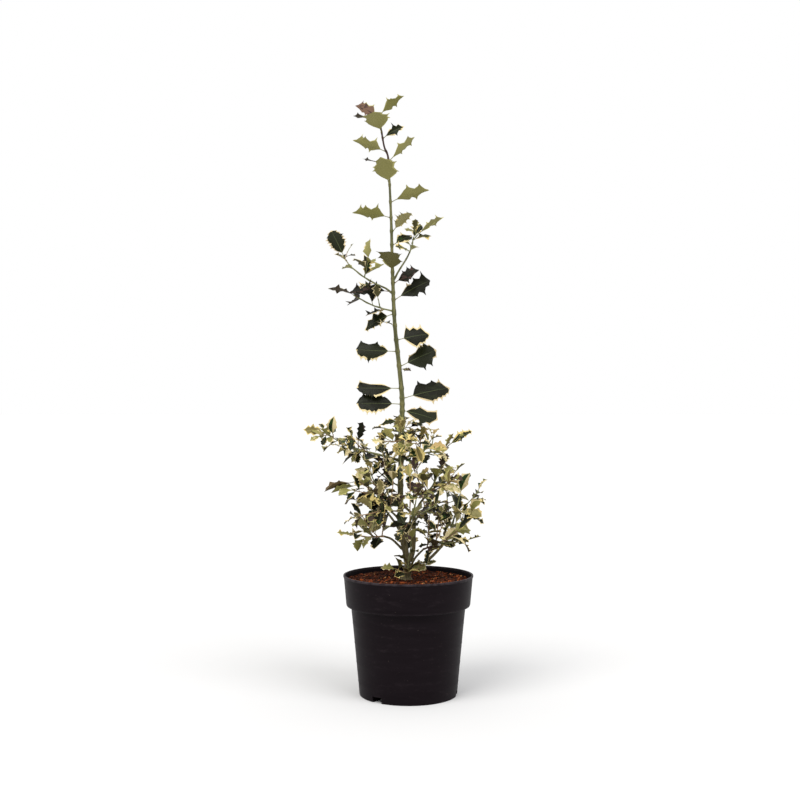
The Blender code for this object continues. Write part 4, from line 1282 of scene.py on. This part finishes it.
# %% [markdown]
# ## The leader's own leaves
#
# Single large leaves stand round the leader. The young ones at the top are olive with few strong
# spines, the old ones further down are broad, dark and glossy. Each takes its place from the same
# row of numbers as its solid.


# %% Place the leader's leaves
LEADER_SEED = 11


def leaf_place(root, heading, face):
    """The matrix that sets a leaf's root, direction and upper face."""
    along = heading.normalized()
    across = face.cross(along).normalized()
    above = along.cross(across)
    turn = Matrix((along, across, above)).transposed().to_4x4()
    return Matrix.Translation(root) @ turn


def add_leader_leaf(pile, row, rng):
    """Sets one leaf on the leader from its row."""
    height, azimuth, rise, length, width, tip_forward, look = row
    azimuth, rise, tip_forward = (math.radians(angle) for angle in (azimuth, rise, tip_forward))
    out = Vector((math.cos(azimuth), math.sin(azimuth), 0))
    clear = trunk_radius(height * MM) + GAP + PETIOLE_WIDTH / 2 * abs(math.sin(rise))
    root = trunk_axis(height * MM) + out * clear
    heading = out * math.cos(rise) + UP * math.sin(rise)
    face = Vector((0, -math.sin(tip_forward), math.cos(tip_forward)))
    place = leaf_place(root, heading, face)
    kind, style, upper, lower = look.split()
    sides = (upper, lower) if place.col[1].z > 0 else (lower, upper)
    add_leaf(pile, kind, style, length * MM, width * MM, place, rng, sides)


leader_pile = Pile()
leader_rng = random.Random(LEADER_SEED)
for row in LEADER_LEAVES + SMALL_LEADER_LEAVES:
    add_leader_leaf(leader_pile, row, leader_rng)
leader_pile.build("leader_leaves", leaf_paints,
                  [f"leader_leaf_{number:02d}" for number in range(1, len(LEADER_LEAVES) + 1)])

# %% [markdown]
# ## The masses of leaves
#
# The plain model grew each mass by a seeded rule: a first shoot, side shoots from it, and leaves
# that turn round each shoot by the golden angle. The same rule runs again here with the same seeds.
# It drew more leaves than it kept, because some touched a neighbour, so a drawn leaf is used only
# where the plain mass has a tip in the same place. After that the rule goes one step further, to
# finer twigs with small leaves.

# %% Masses: sizes
TWIG_SIDES = 3
TWIG_RADIUS = 1.3 * MM
TWIG_TIP_RADIUS = 1.0 * MM
TWIG_STEPS = 3
SHOOT_SAG = 0.05
LEAF_TRIES = 5
FACING_FRONT = ("left_high", "right_high", "upper_left", "upper_right")
FRONT_TURN = 0.9
MASS_SEED = 41
WIDTH_TO_LENGTH = (0.48, 0.64)
GOLDEN_ANGLE = 137.5
TIP_SPREAD = (8, 22)
SIDE_SPREAD = (45, 70)
SAME_PLACE = 0.04 * MM


# %% The rule
def rising(start, end, steps):
    """A shoot that sets out low and turns up towards its end."""
    sag = SHOOT_SAG * (end - start).length
    shares = [step / steps for step in range(steps + 1)]
    return [start.lerp(end, share) - UP * 4 * sag * share * (1 - share) for share in shares]


def on_path(path, share):
    """A point and a direction part of the way along a path."""
    spot = share * (len(path) - 1)
    low = min(int(spot), len(path) - 2)
    return path[low].lerp(path[low + 1], spot - low), (path[low + 1] - path[low]).normalized()


def shoot_leaves(path, count, length, rng, turned=0):
    """Draws each leaf of a shoot: alternate leaves round it, and one at its tip."""
    for number in range(count + 1):
        for attempt in range(LEAF_TRIES):
            share = 1 if number == count else (number + 0.5) / count
            root, along = on_path(path, share)
            azimuth = math.radians(GOLDEN_ANGLE * number + rng.uniform(-40, 40))
            spread = math.radians(rng.uniform(*(TIP_SPREAD if number == count else SIDE_SPREAD)))
            across = along.orthogonal().normalized()
            out = Matrix.Rotation(azimuth, 3, along) @ across
            heading = along * math.cos(spread) + out * math.sin(spread) - UP * 0.1
            tilt = Vector((rng.uniform(-0.5, 0.5), rng.uniform(-0.8, 0.3) - turned, 1))
            size = length * rng.uniform(0.8, 1.1) * (1 - 0.2 * share)
            width = size * rng.uniform(*WIDTH_TO_LENGTH)
            yield number, root, heading.normalized(), tilt, size, width


def tube(points, radii, sides, first=None):
    """Corners and faces of a closed tube along points, with flat ends."""
    along = [(after - before).normalized() for before, after in
             zip([points[0], *points[:-1]], [*points[1:], points[-1]])]
    if first is not None:
        along[0] = first.normalized()
    turn = along[0].orthogonal().normalized()
    corners, faces = [], []
    for centre, heading, radius in zip(points, along, radii):
        turn = (turn - heading * turn.dot(heading)).normalized()
        across = heading.cross(turn)
        for side in range(sides):
            angle = 2 * math.pi * side / sides
            corners.append(centre + (turn * math.cos(angle) + across * math.sin(angle)) * radius)
    for ring in range(len(points) - 1):
        for side in range(sides):
            low = ring * sides + side
            next_low = ring * sides + (side + 1) % sides
            faces.append((low, next_low, next_low + sides, low + sides))
    faces.append(tuple(reversed(range(sides))))
    faces.append(tuple(range(len(corners) - sides, len(corners))))
    return corners, faces


# %% What the plain masses kept
def corner_tree(node):
    """A search tree of a CAD node's corners."""
    corners = node.data.vertices
    tree = kdtree.KDTree(len(corners))
    for index, corner in enumerate(corners):
        tree.insert(corner.co, index)
    tree.balance()
    return tree


def kept(tree, place):
    return tree.find(place)[2] < SAME_PLACE


def cad_shape(names):
    """One search tree of the faces of several CAD nodes."""
    corners, faces = [], []
    for name in names:
        mesh = nodes[name].data
        first = len(corners)
        corners += [corner.co.copy() for corner in mesh.vertices]
        faces += [tuple(first + index for index in face.vertices) for face in mesh.polygons]
    return BVHTree.FromPolygons(corners, faces)


solid_plant = cad_shape([name for name in nodes if name not in ("pot", "potting_mix")])

# %% Twig finishes
TWIG_TONES = {
    "twig_green": (104, 106, 62), "twig_tan": (134, 106, 74), "twig_brown": (92, 66, 46),
}
twig_paints = [grained(name, tone, 1.6 * MM, 0.15 * MM, 0.5) for name, tone in TWIG_TONES.items()]

# %% How each mass is dressed
TWIG_FACES_AROUND = 6
TWIG_SUNK = 0.8 * MM
TWIG_BEND = 0.35 * MM
GREEN_TIP = 1.05 * MM
BROWN_TIP = 0.8 * MM
SIDE_TWIG_RADII = (0.95 * MM, 0.7 * MM)
FINE_TWIG_RADII = (0.7 * MM, 0.5 * MM)
FINE_TWIG_REACH = (9, 17)
FINE_TWIG_BEND = 0.3 * MM
FINE_TWIG_SIDES = 5
FINE_LEAVES = 2
FINE_LEAF_LENGTH = 21 * MM
FINE_SEED = 5
MASS_KINDS = {
    "left_high": ("dark", "olive", "dark", "edged", "dark", "two_tone"),
    "left_mid": ("olive", "dark", "black", "brown", "dark", "cream", "dark"),
    "left_low": ("dark", "olive", "edged", "brown", "olive", "dark"),
    "centre_left": ("dark", "black", "brown", "dark", "black"),
    "centre_front": ("cream", "dark", "two_tone", "black", "cream"),
    "right_high": ("two_tone", "cream", "dark", "fringed", "tan"),
    "right_mid": ("cream", "dark", "brown", "tan", "olive", "dark", "two_tone"),
    "right_far": ("fringed", "dark", "edged", "brown", "dark"),
    "foot": ("dark", "fringed", "dark", "edged"),
    "upper_left": ("old", "olive", "dark"),
    "upper_left_low": ("black", "old", "brown"),
    "upper_right": ("dark", "olive", "fringed"),
}
BUSH_KINDS = ("dark", "brown", "olive", "brown", "dark", "two_tone", "black", "brown", "dark")
CALM_MASSES = (
    "left_low", "right_low", "right_mid", "front_right", "front_left", "foot", "back_left",
    "back_right")
FINE_TWIGS = {
    "foot": 2, "upper_left": 1, "upper_left_low": 0, "upper_right": 1, "left_low": 0,
    "right_high": 2, "front_left": 1, "back_left": 1, "left_mid": 2,
}
GREEN_WOOD = ("upper_left", "upper_left_low", "upper_right")


# %% Grow one mass
def bent(path, rng, amount):
    """A path with finer points and a slight bend between leaf nodes."""
    line = smooth(path, 3)
    for point in line[1:-1]:
        point += Vector([rng.uniform(-amount, amount) for axis in range(3)])
    return line


def twig_radii(line, base, tip):
    """Radii along a twig, thicker at every third point, where a leaf sits."""
    last = len(line) - 1
    return [(base + (tip - base) * spot / last) * (1.16 if spot % 3 == 0 else 0.92)
            for spot in range(last + 1)]


def add_fine_twig(name, path, kinds, leaf_pile, twig_pile, rng):
    """One side twig with small leaves, kept only where it has room inside the mass's own space."""
    low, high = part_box(f"foliage_{name}")

    def outside(place):
        return any(place[axis] < low[axis] or place[axis] > high[axis] for axis in range(3))

    root, along = on_path(path, rng.uniform(0.15, 0.95))
    out = Matrix.Rotation(rng.uniform(0, 2 * math.pi), 3, along) @ along.orthogonal().normalized()
    end = root + (along * 0.7 + out + UP * 0.35).normalized() * rng.uniform(*FINE_TWIG_REACH) * MM
    if outside(end):
        return 0
    line = bent([root, root.lerp(end, 0.5), end], rng, FINE_TWIG_BEND)
    made = 0
    drawn = shoot_leaves([root, end], FINE_LEAVES, FINE_LEAF_LENGTH, rng)
    for number, start, heading, face, size, width in drawn:
        if made > number:
            continue
        place = leaf_place(start, heading, face)
        if outside(place @ Vector((size, 0, 0))):
            continue
        blade = [place @ Vector((share * size, side * width / 2, 0))
                 for share, side in ((0.3, 1), (1, 0), (0.3, -1))]
        if BVHTree.FromPolygons(blade, [(0, 1, 2)]).overlap(solid_plant):
            continue
        add_leaf(leaf_pile, rng.choice(kinds), "small", size, width, place, rng)
        made = number + 1
    if made:
        corners, faces = tube(line, twig_radii(line, *FINE_TWIG_RADII), FINE_TWIG_SIDES)
        twig_pile.add(corners, faces, rng.choice((0, 0, 1)))
    return made


def grow_mass(name, leaf_pile, twig_pile):
    """Grows one mass by the rule again, then its finer twigs."""
    shoots = MASSES[name]
    rng = random.Random(f"{name} {MASS_SEED}")
    looks = random.Random(f"{name} {FINE_SEED}")
    tree = corner_tree(nodes[f"foliage_{name}"])
    first_end = mm(shoots[0][1])
    if name in MASS_HEIGHTS:
        start, out = trunk_exit(MASS_HEIGHTS[name] * MM, first_end)
        base_radius = TWIG_RADIUS
    else:
        start, out = next_start(limbs[name])
        base_radius = limbs[name].tip_radius
    paths, leaves = [], 0
    kinds = MASS_KINDS.get(name, BUSH_KINDS)
    styles = ("calm", "calm", "bush") if name in CALM_MASSES else ("bush", "bush", "calm")
    for order, (share, end, count, length, *look) in enumerate(shoots):
        turned = FRONT_TURN if count == 0 and name in FACING_FRONT else 0
        if order == 0:
            path = rising(start, mm(end), TWIG_STEPS)
            line = bent([start - out * TWIG_SUNK, *path[1:]], looks, TWIG_BEND)
            radii = twig_radii(line, base_radius, GREEN_TIP if name in GREEN_WOOD else BROWN_TIP)
        else:
            path = rising(on_path(paths[0], share)[0], mm(end), TWIG_STEPS - 1)
            ends = tube(path, [TWIG_TIP_RADIUS] * len(path), TWIG_SIDES)[0][-TWIG_SIDES:]
            if not any(kept(tree, corner) for corner in ends):
                continue
            line = bent(path, looks, TWIG_BEND)
            radii = twig_radii(line, *SIDE_TWIG_RADII)
        corners, faces = tube(line, radii, TWIG_FACES_AROUND, first=line[1] - line[0])
        wood = looks.choice((0, 0, 1, 1, 2))
        twig_pile.add(corners, faces, 0 if name in GREEN_WOOD else wood)
        paths.append(path)
        filled = set()
        drawn = shoot_leaves(path, count, length * MM, rng, turned)
        for number, root, heading, face, size, width in drawn:
            if number in filled:
                continue
            place = leaf_place(root, heading, face)
            if not kept(tree, place @ Vector((size, 0, -LEAF_DROOP * size))):
                continue
            filled.add(number)
            leaves += 1
            kind, style = looks.choice(kinds), looks.choice(styles)
            sides = []
            if look and number == count:
                kind, style, *sides = look[0].split()
            add_leaf(leaf_pile, kind, style, size, width, place, looks, sides)
    fine = sum(add_fine_twig(name, looks.choice(paths), kinds, leaf_pile, twig_pile, looks)
               for attempt in range(FINE_TWIGS.get(name, len(paths))))
    print(name, "shoots:", len(paths), "of", len(shoots), "leaves:", leaves, "and small:", fine)


# %% Grow them all, in pieces by place
PIECES = {
    "left_bush": ("left_high", "left_mid", "left_low", "front_left", "back_left", "centre_left"),
    "right_bush": ("right_high", "right_mid", "right_far", "right_low", "front_right", "back_right"),
    "centre_bush": ("centre_front", "centre_back", "foot"),
    "upper_shoots": ("upper_left", "upper_left_low", "upper_right"),
}
twig_pile = Pile()
for piece, names in PIECES.items():
    leaf_pile = Pile()
    for name in names:
        grow_mass(name, leaf_pile, twig_pile)
    leaf_pile.build(f"{piece}_leaves", leaf_paints, [f"foliage_{name}" for name in names])
twig_pile.build("twigs", twig_paints, [f"foliage_{name}" for name in MASSES], sharp=80)

# %% [markdown]
# ## Sizes
#
# The dressed plant has to stay in the plain model's box. Both boxes are printed at the end.

# %% Print both boxes
visual_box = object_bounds()
boxes = {"cad": [list(corner) for corner in cad_box], "visual": [list(corner) for corner in visual_box]}
for label, (low, high) in boxes.items():
    print(label, [round(value, 4) for value in low], [round(value, 4) for value in high])
